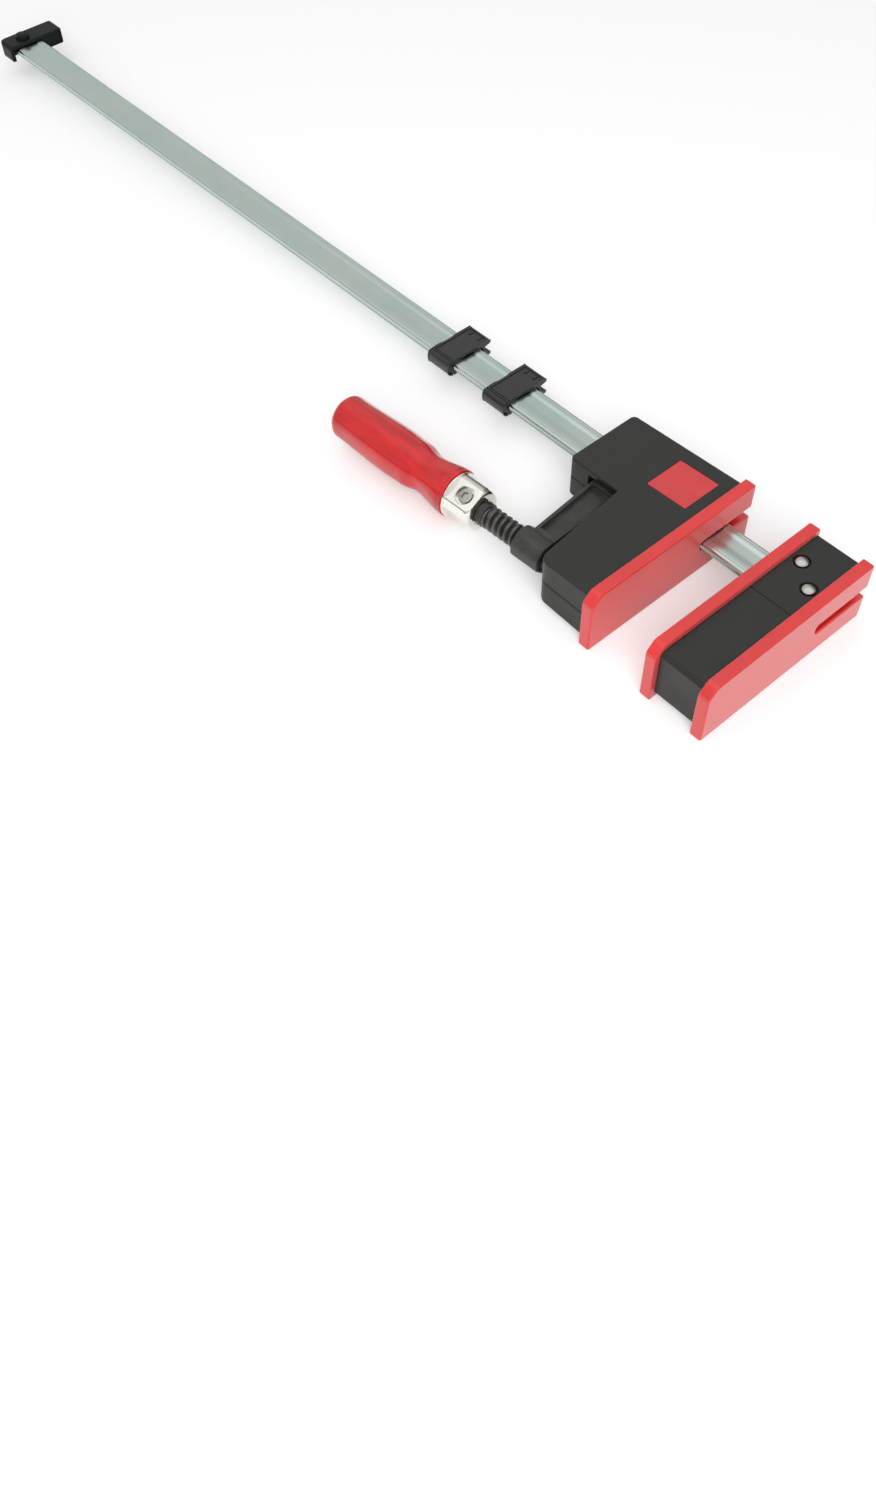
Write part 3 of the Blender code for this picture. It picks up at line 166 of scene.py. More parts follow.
SCREW_SINK = 2.6 * MM
CROSS_RECESS = 0.9 * MM
CROSS_SHARE = 0.62
BALL_Y = (CUP_LOW.y + CUP_HIGH.y) / 2 - SHOP.y
BOSS_Y = SHOP.y - BOSS.y
SHELL_SCREWS = (
    (-76.0 * MM, 17.6 * MM), (-76.0 * MM, -16.4 * MM),
    (-18.0 * MM, 17.6 * MM), (-18.0 * MM, 29.4 * MM - BOSS_Y),
)

# Label
LABEL_SINK = 0.7 * MM
LABEL_THICKNESS = 0.4 * MM
LABEL_CORNER = 1.0 * MM
LABEL_BORDER = 0.64 * MM
LABEL_RAISE = 0.12 * MM

# Sliding arm, in the plane tilted with the spindle
ARM_HALF_HEIGHT = 8.0 * MM
ARM_WEB_HALF = 5.2 * MM
ARM_REAR_RIB = 2.1 * MM
ARM_FRONT_RIB = 1.3 * MM
ARM_EDGE_SHARE = 0.3
ARM_WEB_ROUND = 1.0 * MM
ARM_FRONT = 9.0 * MM
ARM_REAR_LOW = 5.1 * MM
ARM_REAR_HIGH = 7.6 * MM
ARM_HEAD_REACH = 24.4 * MM
ARM_HEAD_WALL = 7.0 * MM
ARM_HEAD_ROUND = 2.5 * MM
BOSS_RADIUS = 9.1 * MM
BOSS_FLAT = 8.7 * MM
BOSS_LENGTH = 19.0 * MM
BOSS_CHAMFER = 0.9 * MM
BOSS_SIDES = 8
BOSS_STEPS = 4
BAR_IN_ARM = BOSS_Y / math.cos(TILT)
EYE_HALF = BAR_HALF + ARM_FRONT * math.tan(TILT) + PLAY

# Spindle, ferrule and handle, measured along the spindle from the boss, with the shares of a
# shoulder groove's spacing between which its crest lies, and shares of the handle's length
THREAD_RADIUS = 6.5 * MM
THREAD_DEPTH = 2.1 * MM
THREAD_PITCH = 4.0 * MM
THREAD_FRONT = 17.0 * MM
THREAD_REAR = 36.6 * MM
BORE_RADIUS = THREAD_RADIUS + PLAY
NECK_RADIUS = 2.8 * MM
BALL_RADIUS = 3.8 * MM
SHOULDER_RADIUS = 6.8 * MM
SHOULDER_FRONT = 33.3 * MM
SHOULDER_GROOVES = 4
SHOULDER_GROOVE_DEPTH = 0.6 * MM
SHOULDER_CREST = (0.3, 0.7)
FERRULE_FRONT = 37.7 * MM
FERRULE_LENGTH = 17.4 * MM
FERRULE_REAR = FERRULE_FRONT + FERRULE_LENGTH
FERRULE_RADIUS = 12.6 * MM
FERRULE_FLAT = 10.6 * MM
FERRULE_NOSE = 3.1 * MM
FERRULE_NOSE_RADIUS = 9.8 * MM
FERRULE_TURN = 27 * DEGREE
COLLAR_LENGTH = 1.2 * MM
COLLAR_RADIUS = 13.2 * MM
TANG_RADIUS = 4.8 * MM
TANG_LENGTH = 34.0 * MM
SEAT_DEPTH = 7.2 * MM
SEAT_RADIUS = 5.4 * MM
CROSS_HEAD_RADIUS = 4.0 * MM
CROSS_HEAD_HEIGHT = 2.6 * MM
CROSS_SHANK = 2.1 * MM
CROSS_REACH = 3.4 * MM
HEX_RADIUS = 2.5 * MM
HEX_DEPTH = 1.4 * MM
CROSS_X = -(FERRULE_FRONT + FERRULE_REAR) / 2
HANDLE_FRONT = FERRULE_REAR + COLLAR_LENGTH + GAP
HANDLE_LENGTH = 91.8 * MM
HANDLE_MOUTH = 13.9 * MM
HANDLE_NECK = 11.6 * MM
HANDLE_BULGE = 14.1 * MM
HANDLE_END = 13.0 * MM
HANDLE_RIM = 0.9 * MM
HANDLE_FLATS = 0.45 * MM
HANDLE_SIDES = 8
HANDLE_FADE = 8
HANDLE_GROOVE = 2.3 * MM
HANDLE_GROOVE_HALF = 0.3 * MM
HANDLE_GROOVE_DEPTH = 0.35 * MM
HANDLE_END_ROUND = 5.5 * MM
HANDLE_CROWN = 1.2 * MM
NECK_SHARE = 0.23
SHOULDER_SHARE = 0.352
BULGE_SHARE = 0.514

# Bar end cap, with shares of its edge rounding for the corners beside its leg and at its back
CAP_FRONT = SHOP.x - CAP_HIGH.x
CAP_LENGTH = CAP_HIGH.x - CAP_LOW.x
CAP_HALF = (CAP_HIGH.z - CAP_LOW.z) / 2
CAP_SIDE = SHOP.y - CAP_LOW.y
CAP_SIDE_ROUND = 5.0 * MM
CAP_LEG = 2.6 * MM
CAP_LEG_SLOT = 8.5 * MM
CAP_FOOT_Y = 13.0 * MM
CAP_PANEL_INSET = 1.6 * MM
CAP_PANEL_DEPTH = 0.5 * MM
CAP_EDGE_ROUND = 3.0 * MM
CAP_LEG_ROUND = 1.2 * MM
CAP_LEG_SHARE = 1.6
CAP_BACK_SHARE = 2.5
CAP_ROOF_ROUND = 2.2 * MM
CAP_FLOOR_Y = -3.4 * MM
CAP_PIN = (-721.0 * MM, -0.6 * MM)
CAP_PIN_RADIUS = 2.0 * MM
CAP_PIN_HEAD = 5.0 * MM
CAP_PIN_HEIGHT = 2.6 * MM
CAP_PIN_RING = 0.7 * MM

# Shares of the button's height: the top of its side, the crest of its ring and the dome's foot
CAP_PIN_SIDE = 0.55
CAP_PIN_LIP = 0.75
CAP_PIN_FOOT = 0.6

# Support clips, shifted along the bar from the middles of the solids that they stand for
CLIP_LENGTH = 17.4 * MM
CLIP_SHIFTS = {"front": -1.15 * MM, "rear": -0.15 * MM}
CLIP_WALL = 1.8 * MM
CLIP_SIDE = 15.0 * MM
CLIP_BACK = 18.0 * MM
CLIP_CORNER = 3.0 * MM
CLIP_BELLY = 4.2 * MM
CLIP_BACK_ROUND = 0.6 * MM
CLIP_LIP_ROUND = 0.4 * MM
CLIP_INNER_ROUND = 0.3 * MM
CLIP_END_SHARE = 0.6
CLIP_LIP_GAP = 1.6 * MM
CLIP_LIP_RUN = 1.8 * MM
CLIP_PANEL_INSET = 1.7 * MM
CLIP_PANEL_DEPTH = 0.4 * MM
CLIP_RIB = 0.7 * MM
CLIP_RIB_LENGTH = 3.2 * MM
CLIP_LINES = (-12.4 * MM, -10.9 * MM)
CLIP_LINE_WIDTH = 0.5 * MM
CLIP_ARCH_RADIUS = 42.0 * MM
CLIP_ARCH_DEPTH = 0.35 * MM
CLIP_HOOK_RADIUS = 1.1 * MM
CLIP_HOOK_HOLE = 0.5 * MM
CLIP_HOOK_REACH = 0.7 * MM
CLIP_FOOT = 1.3 * MM
CLIP_FOOT_RISE = 1.56 * MM

# Camera, in shop coordinates
CAMERA_PLACE = (238.75 * MM, -412.94 * MM, 495.70 * MM)
CAMERA_TURN = (34.9332 * DEGREE, 1.3607 * DEGREE, 48.8802 * DEGREE)
CAMERA_LENS = 31.5594
SENSOR = 36.0

# Lamps: places and aims in metres from the shop origin, and the sides of their squares
KEY_PLACE = (-0.3, -0.6, 1.4)
KEY_AIM = (-0.25, 0.0, 0.0)
KEY_SIZE = 1.7
FILL_PLACE = (0.85, -0.85, 0.95)
FILL_AIM = (-0.1, 0.0, 0.0)
FILL_SIZE = 1.0

# Floor's own colour, and how light some finishes are beside the colour that they share
FLOOR_WHITE = (0.8, 0.8, 0.8)
RIVET_TONE = 0.6
SOCKET_TONE = 0.5
CLIP_TONE = 0.4
GUIDE_TONE = 1.4

# The sky in reflections, by the Z and Y parts of the direction of view. It brightens between the
# heights of the first band, dims to a share across the second, towards +Y, and gains a share
# between the heights of the third, overhead.
HORIZON_BAND = (0.03, 0.3)
SIDE_BAND = (0.68, 0.9)
SIDE_DIM = 0.24
OVERHEAD_BAND = (0.66, 0.9)
OVERHEAD_SHARE = 1.6


def length(name, description, size):
    """A size kept in the scene's settings."""
    return bpy.props.FloatProperty(
        name=name, description=description, default=size, min=0.0, precision=5, unit="LENGTH",
    )


def shade(name, description, colour):
    """A colour kept in the scene's settings."""
    return bpy.props.FloatVectorProperty(
        name=name, description=description, default=colour, size=3, min=0.0, max=1.0, subtype="COLOR",
    )


def dial(name, description, amount):
    """A strength kept in the scene's settings."""
    return bpy.props.FloatProperty(name=name, description=description, default=amount, min=0.0)


class ClampSizes(bpy.types.PropertyGroup):
    """Sizes of the details that the dressing adds."""

    pad_round: length("Pad edge", "Rounding round a pad's clamping face", 1.1 * MM)
    pad_tip_round: length("Pad tip", "Rounding of the cut corner at a pad's tip", 4.5 * MM)
    housing_round: length("Housing edge", "Rounding of the housing's top and bottom edges", 1.5 * MM)
    fixed_round: length("Fixed jaw edge", "Rounding of the fixed jaw body's long edges", 0.7 * MM)
    tooth_pitch: length("Tooth pitch", "Spacing of the fine teeth in the bar's edges", 1.4 * MM)
    arm_round: length("Arm edge", "Rounding of the arm's forged edges", 0.6 * MM)
    clip_round: length("Clip edge", "Rounding of the support clips' edges", 0.5 * MM)
    cap_round: length("Cap edge", "Rounding of the end cap's edges", 0.8 * MM)


class ClampColours(bpy.types.PropertyGroup):
    """Colours of the finishes."""

    pad_red: shade("Pads", "Red of the jaw pads", (0.64, 0.012, 0.010))
    label_red: shade("Label", "Red of the plain label", (0.61, 0.040, 0.044))
    handle_red: shade("Handle", "Red under the handle's lacquer", (0.56, 0.003, 0.005))
    housing_black: shade("Plastic", "Black of the fixed jaw, housing and clips", (0.0115, 0.012, 0.0098))
    zinc: shade("Zinc", "Plated steel of the bar", (0.52, 0.585, 0.55))
    nickel: shade("Nickel", "Bright ferrule and rivets", (0.86, 0.84, 0.79))
    black_steel: shade("Black steel", "Blackened arm and spindle", (0.040, 0.042, 0.037))
    screw_grey: shade("Spindle", "Worn black of the spindle's thread", (0.11, 0.107, 0.098))
    cap_black: shade("End cap", "Black of the end cap", (0.009, 0.0115, 0.0105))
    cast_grey: shade("Cast core", "Cores inside the jaws", (0.20, 0.20, 0.20))
    hard_steel: shade("Hard steel", "Pins, spring and thrust pieces", (0.48, 0.48, 0.49))


class ClampStage(bpy.types.PropertyGroup):
    """Floor, light and background."""

    floor_size: length("Floor", "Side of the square floor", 12.0)
    lamp_power: dial("Lamp", "Power of the soft lamp overhead", 4.0)
    fill_power: dial("Fill", "Power of the fill lamp at the head end", 15.5)
    world_light: dial("Sky", "Strength of the light from all round", 0.6)
    sky_shine: dial("Sky in reflections", "Strength of the upper sky in reflections", 0.75)
    rim_shine: dial("Horizon in reflections", "Strength of the sky's lowest band there", 0.25)
    floor_fill: dial("Floor fill", "Brightness added to the floor as the camera sees it", 0.27)


# Mesh building

def new_piece(name, bm):
    """Turn a bmesh into an object with outward faces."""
    bmesh.ops.recalc_face_normals(bm, faces=bm.faces)
    mesh = bpy.data.meshes.new(name)
    bm.to_mesh(mesh)
    bm.free()
    piece = bpy.data.objects.new(name, mesh)
    bpy.context.scene.collection.objects.link(piece)
    return piece


def add_loft(bm, rings):
    """Join rings of equally many points in a bmesh, and cap both ends."""
    loops = [[bm.verts.new(point) for point in ring] for ring in rings]
    count = len(loops[0])
    for lower, upper in zip(loops, loops[1:]):
        for i in range(count):
            j = (i + 1) % count
            bm.faces.new((lower[i], lower[j], upper[j], upper[i]))
    bm.faces.new(loops[0])
    bm.faces.new(loops[-1])


def loft(name, rings):
    """A piece made of joined rings."""
    bm = bmesh.new()
    add_loft(bm, rings)
    return new_piece(name, bm)


def across(axis, outline, height):
    """Place an outline square to an axis, at a height along it."""
    if axis == "X":
        return [(height, a, b) for a, b in outline]
    if axis == "Y":
        return [(b, height, a) for a, b in outline]
    return [(a, b, height) for a, b in outline]


def prism(name, outline, low, high, axis="Z"):
    """Extrude an outline along an axis."""
    return loft(name, [across(axis, outline, low), across(axis, outline, high)])


def rectangle(low, high, corner=0):
    """A rectangle between two corners, with its own corners rounded."""
    sides = [(low[0], low[1]), (high[0], low[1]), (high[0], high[1]), (low[0], high[1])]
    return rounded([(a, b, corner) for a, b in sides])


def block(low, high):
    """A box between two corners, for cutting."""
    return prism("block", rectangle(low, high), low[2], high[2])


def arc(centre, radius, start, end, steps):
    """Points on a circle from one angle to another, with both ends."""
    turns = [start + (end - start) * step / steps for step in range(steps + 1)]
    return [(centre[0] + radius * math.cos(turn), centre[1] + radius * math.sin(turn)) for turn in turns]


def circle(radius, steps, centre=(0, 0)):
    """Points round a circle."""
    return arc(centre, radius, 0, 2 * math.pi, steps)[:-1]


def rod(radius, start, end, axis="Z", centre=(0, 0), steps=TURN_STEPS):
    """A round bar for cutting or fusing."""
    return prism("rod", circle(radius, steps, centre), start, end, axis)


def turned(name, profile, steps=TURN_STEPS):
    """Spin a profile of (x, radius) points about the X axis."""
    bm = bmesh.new()
    loops = []
    for x, radius in profile:
        if radius == 0:
            loops.append([bm.verts.new((x, 0, 0))])
        else:
            loops.append([bm.verts.new((x, y, z)) for y, z in circle(radius, steps)])
    for first, second in zip(loops, loops[1:]):
        for i in range(steps):
            j = (i + 1) % steps
            corners = [first[i % len(first)], first[j % len(first)]]
            corners += [second[j % len(second)], second[i % len(second)]]
            bm.faces.new(list(dict.fromkeys(corners)))
    for loop in (loops[0], loops[-1]):
        if len(loop) > 1:
            bm.faces.new(loop)
    return new_piece(name, bm)


def upright(piece, place):
    """Stand a piece that was turned about X on a place in the XY plane."""
    stand = Matrix.Translation((place[0], place[1], 0)) @ Matrix.Rotation(-RIGHT_ANGLE, 4, "Y")
    piece.data.transform(stand)
    return piece


def rounded(corners, steps=ARC_STEPS):
    """Replace each (a, b, radius) corner by an arc, or keep it where the radius is zero."""
    points = []
    count = len(corners)
    for i, (a, b, radius) in enumerate(corners):
        here = Vector((a, b))
        if radius == 0:
            points.append((a, b))
            continue
        before = (Vector(corners[i - 1][:2]) - here).normalized()
        after = (Vector(corners[(i + 1) % count][:2]) - here).normalized()
        half = before.angle(after) / 2
        centre = here + (before + after).normalized() * (radius / math.sin(half))
        start = here + before * (radius / math.tan(half)) - centre
        sweep = start.angle_signed(here + after * (radius / math.tan(half)) - centre)
        for step in range(steps + 1):
            point = centre + Matrix.Rotation(-sweep * step / steps, 2) @ start
            points.append((point.x, point.y))
    return points


def inset(outline, distance):
    """Move every side of a counter-clockwise outline inwards."""
    points = []
    count = len(outline)
    for i in range(count):
        here = Vector(outline[i])
        before = (here - Vector(outline[i - 1])).normalized()
        after = (Vector(outline[(i + 1) % count]) - here).normalized()
        left = Vector((-before.y, before.x))
        right = Vector((-after.y, after.x))
        points.append(tuple(here + (left + right) * (distance / (1 + left.dot(right)))))
    return points


def ease(start, end, steps):
    """Points of a smooth S between two places on a profile, without the first."""
    points = []
    for i in range(1, steps + 1):
        share = i / steps
        blend = share * share * (3 - 2 * share)
        points.append((start[0] + (end[0] - start[0]) * share, start[1] + (end[1] - start[1]) * blend))
    return points


def dome(base, height, radius):
    """A quarter of an ellipse on a turned profile, from its rim to its top."""
    turns = [RIGHT_ANGLE * step / ARC_STEPS for step in range(ARC_STEPS)]
    points = [(base + height * math.sin(turn), radius * math.cos(turn)) for turn in turns]
    return points + [(base + height, 0)]


def quarter_turn(radius):
    """Pairs of distance in from a side and down from a rim, along a rounded edge."""
    if radius == 0:
        return [(0, 0)]
    turns = [RIGHT_ANGLE * step / EDGE_STEPS for step in range(EDGE_STEPS + 1)]
    return [(radius * (1 - math.sin(turn)), radius * (1 - math.cos(turn))) for turn in turns]


def slab(name, outline, start, end, start_round, end_round, axis="Z"):
    """A plate between two heights along an axis, with its two rims rounded."""
    toward = math.copysign(1, end - start)
    rings = []
    for side, depth in quarter_turn(start_round):
        rings.append(across(axis, inset(outline, side), start + toward * depth))
    for side, depth in reversed(quarter_turn(end_round)):
        rings.append(across(axis, inset(outline, side), end - toward * depth))
    return loft(name, rings)


def settle(piece):
    """Make a piece's modifiers part of its mesh."""
    graph = bpy.context.evaluated_depsgraph_get()
    mesh = bpy.data.meshes.new_from_object(piece.evaluated_get(graph))
    piece.modifiers.clear()
    piece.data = mesh
    return piece


def combine(piece, tools, operation):
    """Cut tools out of a piece or fuse them to it, and remove the tools."""
    for tool in tools:
        modifier = piece.modifiers.new(operation.lower(), "BOOLEAN")
        modifier.operation = operation
        modifier.object = tool
    settle(piece)
    for tool in tools:
        bpy.data.objects.remove(tool, do_unlink=True)
    return piece


def cut(piece, *tools):
    """Take the tools out of a piece."""
    return combine(piece, tools, "DIFFERENCE")


def fuse(piece, *tools):
    """Make the tools part of a piece."""
    return combine(piece, tools, "UNION")


def ease_edges(piece, width, angle=35, segments=3):
    """Round a piece's sharp edges."""
    bevel = piece.modifiers.new("edges", "BEVEL")
    bevel.width = width
    bevel.segments = segments
    bevel.limit_method = "ANGLE"
    bevel.angle_limit = angle * DEGREE
    bevel.use_clamp_overlap = True
    return settle(piece)


def join(name, *pieces):
    """Gather several shells in one object."""
    bm = bmesh.new()
    for piece in pieces:
        bm.from_mesh(piece.data)
        bpy.data.objects.remove(piece, do_unlink=True)
    return new_piece(name, bm)


def polish(piece, angle):
    """Shade smooth between faces that meet at less than the angle, and keep the broad faces flat."""
    piece.data.shade_smooth()
    piece.data.set_sharp_from_angle(angle=angle * DEGREE)
    normals = piece.modifiers.new("normals", "WEIGHTED_NORMAL")
    normals.keep_sharp = True
    return settle(piece)


def fit(piece, name, to_world, finish, body, cad_node, angle=38):
    """Finish a piece, put it in place, make it ride on its body, and hide the solid that it stands for."""
    piece.name = name
    piece.data.transform(to_world)
    polish(piece, angle)
    piece.data.materials.clear()
    piece.data.materials.append(finish)
    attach(piece, body)
    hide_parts(cad_node)
    return piece


# Finishes

def node(tree, kind, inputs=None, **settings):
    """Add a shader node with its settings, values and links."""
    item = tree.nodes.new(kind)
    for key, value in settings.items():
        setattr(item, key, value)
    for key, value in (inputs or {}).items():
        if isinstance(value, bpy.types.NodeSocket):
            tree.links.new(value, item.inputs[key])
        else:
            item.inputs[key].default_value = value
    return item


def noise(tree, scale, detail=3.0, roughness=0.5, stretch=(1, 1, 1)):
    """Noise in the object's own metres, with its grain stretched along an axis."""
    place = node(tree, "ShaderNodeTexCoord")
    mapping = node(tree, "ShaderNodeMapping", {"Vector": place.outputs["Object"], "Scale": stretch})
    inputs = {"Vector": mapping.outputs[0], "Scale": scale, "Detail": detail, "Roughness": roughness}
    return node(tree, "ShaderNodeTexNoise", inputs).outputs["Fac"]


def spread(tree, source, low, high, start=0.35, end=0.65):
    """Spread a value between a low and a high one, from the range in which most noise lies."""
    inputs = {"Value": source, "From Min": start, "From Max": end, "To Min": low, "To Max": high}
    return node(tree, "ShaderNodeMapRange", inputs).outputs["Result"]


def between(tree, factor, first, second):
    """Mix two colours by a factor."""
    mix = node(tree, "ShaderNodeMix", data_type="RGBA")
    tree.links.new(factor, mix.inputs["Factor"])
    for side, value in zip(("A", "B"), (first, second)):
        socket = next(s for s in mix.inputs if s.name == side and s.type == "RGBA")
        socket.default_value = (*value, 1)
    return next(s for s in mix.outputs if s.type == "RGBA")


def tinted(colour, share):
    """A colour made lighter or darker by a share."""
    return tuple(min(1.0, part * share) for part in colour)


def tones(colour, dark, light):
    """The two tones between which a colour varies, as shares of it."""
    return tinted(colour, dark), tinted(colour, light)


def finish_of(name, sockets, pair, roughness, cloud, grain=None, relief=None, bump=0.0, depth=0.0):
    """A material with two tones mixed by one noise, its roughness spread by a second, and a bump.

    cloud, grain and relief are the scale, detail, roughness and stretch of the three noises. The
    grain is the cloud again where none is given.
    """
    grain = grain or cloud
    material = bpy.data.materials.new(name)
    material.use_nodes = True
    tree = material.node_tree
    shader = tree.nodes["Principled BSDF"]
    for key, value in sockets.items():
        shader.inputs[key].default_value = value
    noises = {kind: noise(tree, *kind) for kind in (cloud, grain, relief) if kind}
    tone = between(tree, spread(tree, noises[cloud], 0, 1), *pair)
    tree.links.new(tone, shader.inputs["Base Color"])
    tree.links.new(spread(tree, noises[grain], *roughness), shader.inputs["Roughness"])
    if relief:
        inputs = {"Height": noises[relief], "Strength": bump, "Distance": depth}
        tree.links.new(node(tree, "ShaderNodeBump", inputs).outputs["Normal"], shader.inputs["Normal"])
    return material


def moulded_plastic(name, colour, specular=0.5, roughness=0.42):
    """Black moulded plastic with a fine spark-eroded grain."""
    return finish_of(
        name, {"Specular IOR Level": specular}, tones(colour, 0.86, 1.16), (roughness, roughness + 0.12),
        cloud=(60, 4), relief=(1600, 2), bump=0.28, depth=0.05 * MM,
    )


def pad_plastic(name, colour):
    """Dense red plastic, smooth, with a soft sheen at a low angle."""
    sockets = {"Specular IOR Level": 0.9, "Sheen Weight": 1.0, "Sheen Roughness": 0.3}
    return finish_of(
        name, sockets, tones(colour, 0.93, 1.05), (0.28, 0.32),
        cloud=(38, 4), relief=(1600, 2), bump=0.05, depth=0.02 * MM,
    )


def label_plastic(name, colour):
    """Smooth printed red plate."""
    sockets = {"Coat Weight": 0.15, "Coat Roughness": 0.25}
    return finish_of(name, sockets, tones(colour, 0.95, 1.05), (0.36, 0.44), cloud=(120, 3))


def lacquered_wood(name, colour):
    """Beech stained red under clear lacquer, its pores and streaks running along the handle."""
    sockets = {"Coat Weight": 0.9, "Coat Roughness": 0.07, "Specular IOR Level": 0.2}
    pores = (420, 5, 0.6, (0.12, 1, 1))
    return finish_of(
        name, sockets, tones(colour, 0.76, 1.16), (0.3, 0.42),
        cloud=(190, 4, 0.6, (0.2, 1, 1)), grain=pores, relief=pores, bump=0.16, depth=0.06 * MM,
    )


def zinc_plate(name, colour):
    """Drawn steel plated with zinc: streaks along the bar and a faint cloudy tint."""
    greener = (colour[0] * 0.93, colour[1], colour[2] * 0.99)
    streaks = (900, 4, 0.6, (0.03, 1, 1))
    return finish_of(
        name, {"Metallic": 1.0}, (greener, tinted(colour, 1.05)), (0.2, 0.28),
        cloud=(28, 4), grain=streaks, relief=streaks, bump=0.05, depth=0.02 * MM,
    )


def nickel_plate(name, colour):
    """Bright nickel with faint turning marks."""
    return finish_of(
        name, {"Metallic": 1.0}, tones(colour, 0.94, 1.02), (0.06, 0.11),
        cloud=(160, 4), grain=(500, 3), relief=(700, 2), bump=0.05, depth=0.03 * MM,
    )


def blackened_steel(name, colour, metal=0.25, roughness=0.36):
    """Forged steel with a black oxide finish."""
    sockets = {"Metallic": metal, "Specular IOR Level": 0.5}
    return finish_of(
        name, sockets, tones(colour, 0.8, 1.25), (roughness, roughness + 0.12),
        cloud=(140, 5, 0.6), relief=(800, 4), bump=0.2, depth=0.06 * MM,
    )


def rough_steel(name, colour, roughness):
    """Cast or ground steel of the pieces inside."""
    coarse = (300, 5, 0.6)
    return finish_of(
        name, {"Metallic": 1.0}, tones(colour, 0.8, 1.15), (roughness, roughness + 0.15),
        cloud=coarse, relief=coarse, bump=0.25, depth=0.08 * MM,
    )


# Bar

def bar_quarter(flat):
    """A quarter of the bar's section, from an edge groove to where the hollow's floor is flat."""
    corner = (BAR_HALF - BAR_CORNER, BAR_HALF_THICK - BAR_CORNER)
    quarter = [(BAR_HALF - GROOVE_DEPTH, GROOVE_HALF), (BAR_HALF, GROOVE_HALF)]
    quarter += arc(corner, BAR_CORNER, 0, RIGHT_ANGLE, EDGE_STEPS)
    for step, drop in ((1, 0), (0, EDGE_LINE_DEPTH), (-1, 0)):
        quarter.append((EDGE_LINE_Y + step * EDGE_LINE_HALF, BAR_HALF_THICK - drop))
    quarter.append((CHANNEL_HALF + GAP, BAR_HALF_THICK))
    rim = (CHANNEL_HALF, BAR_HALF_THICK)
    return quarter + ease(rim, (flat, BAR_HALF_THICK - CHANNEL_DEPTH), ARC_STEPS)


def bar_section():
    """The bar's section: a groove in each edge, and a hollow between two fine lines on each face."""
    steep = bar_quarter(CHANNEL_FLAT)
    soft = bar_quarter(CHANNEL_SOFT_FLAT)
    top = steep + [(-y, z) for y, z in reversed(soft)]
    return top + [(y, -z) for y, z in reversed(top)]


def tooth_rings(side, pitch):
    """Rings of the toothed strip at the bottom of an edge groove."""
    root = side * (BAR_HALF - TOOTH_ROOT)
    half = GROOVE_HALF + TOOTH_OVERLAP
    count = 2 * int((BAR_TAIL + BAR_HEAD) / pitch)
    rings = []
    for i in range(1, count):
        crest = TOOTH_HEIGHT * (i % 2)
        reach = side * (BAR_HALF - GROOVE_DEPTH + crest)
        x = i * pitch / 2 - BAR_TAIL
        rings.append([(x, root, -half), (x, reach, -half), (x, reach, half), (x, root, half)])
    return rings


def bar(sizes):
    """The whole bar with both toothed edges."""
    bm = bmesh.new()
    section = bar_section()
    add_loft(bm, [across("X", section, -BAR_TAIL), across("X", section, BAR_HEAD)])
    for side in (-1, 1):
        add_loft(bm, tooth_rings(side, sizes.tooth_pitch))
    return new_piece("bar", bm)


# Pads

def pad_outline(sizes):
    """A pad's face in Y and Z, with the slot that clears the bar."""
    corner = sizes.pad_round * PAD_CORNER_SHARE
    slot_end = -BAR_HALF - PLAY - GAP
    slot_round = SLOT_HALF * SLOT_ROUND_SHARE
    return rounded([
        (-PAD_THROAT, -PAD_TOP, corner), (PAD_BACK, -PAD_TOP, corner),
        (PAD_BACK, -SLOT_HALF, corner), (slot_end, -SLOT_HALF, slot_round),
        (slot_end, SLOT_HALF, slot_round), (PAD_BACK, SLOT_HALF, corner),
        (PAD_BACK, PAD_TOP, corner), (PAD_CORNER_CUT - PAD_THROAT, PAD_TOP, sizes.pad_tip_round),
        (-PAD_THROAT, PAD_TOP - PAD_CORNER_CUT, sizes.pad_tip_round),
    ])


def pad(face_x, facing, sizes):
    """A pad whose clamping face looks along facing."""
    back = face_x - facing * PAD_THICKNESS
    rounds = (sizes.pad_round, sizes.pad_round * PAD_REAR_SHARE)
    return slab("pad", pad_outline(sizes), face_x, back, *rounds, "X")


# Fixed jaw

def fixed_body(sizes):
    """The plastic body between the two fixed pads."""
    end = FIXED_END_INSET - PAD_THROAT
    back = PAD_BACK - FIXED_BACK_INSET
    near = PAD_BACK_FACE
    far = PAD_THICKNESS + FIXED_LENGTH - GAP
    soft = sizes.fixed_round
    chamfer = FIXED_END_CHAMFER
    outline = rounded([
        (end, chamfer - FIXED_TOP, soft), (end + chamfer, -FIXED_TOP, soft), (back, -FIXED_TOP, soft),
        (back, FIXED_TOP, soft), (end + chamfer, FIXED_TOP, soft), (end, FIXED_TOP - chamfer, soft),
    ])
    body = slab("fixed body", outline, near, far, GAP, GAP, "X")
    tools = [block(
        (near - OVERRUN, end + FIXED_WALL, FIXED_WALL - FIXED_TOP),
        (far + OVERRUN, back - FIXED_WALL, FIXED_TOP - FIXED_WALL),
    )]
    tools += [rivet_hole(place) for place in RIVETS]
    line = rectangle((near - OVERRUN, STEP_LINE_Y), (far + OVERRUN, STEP_LINE_Y + STEP_LINE_WIDTH))
    for side in (-1, 1):
        levels = (side * (FIXED_TOP - STEP_LINE_DEPTH), side * (FIXED_TOP + OVERRUN))
        tools.append(prism("line", line, *levels))
    return cut(body, *tools)


def both_ways(half):
    """A turned profile that is alike on both sides of the middle."""
    return [(-x, radius) for x, radius in reversed(half)] + half


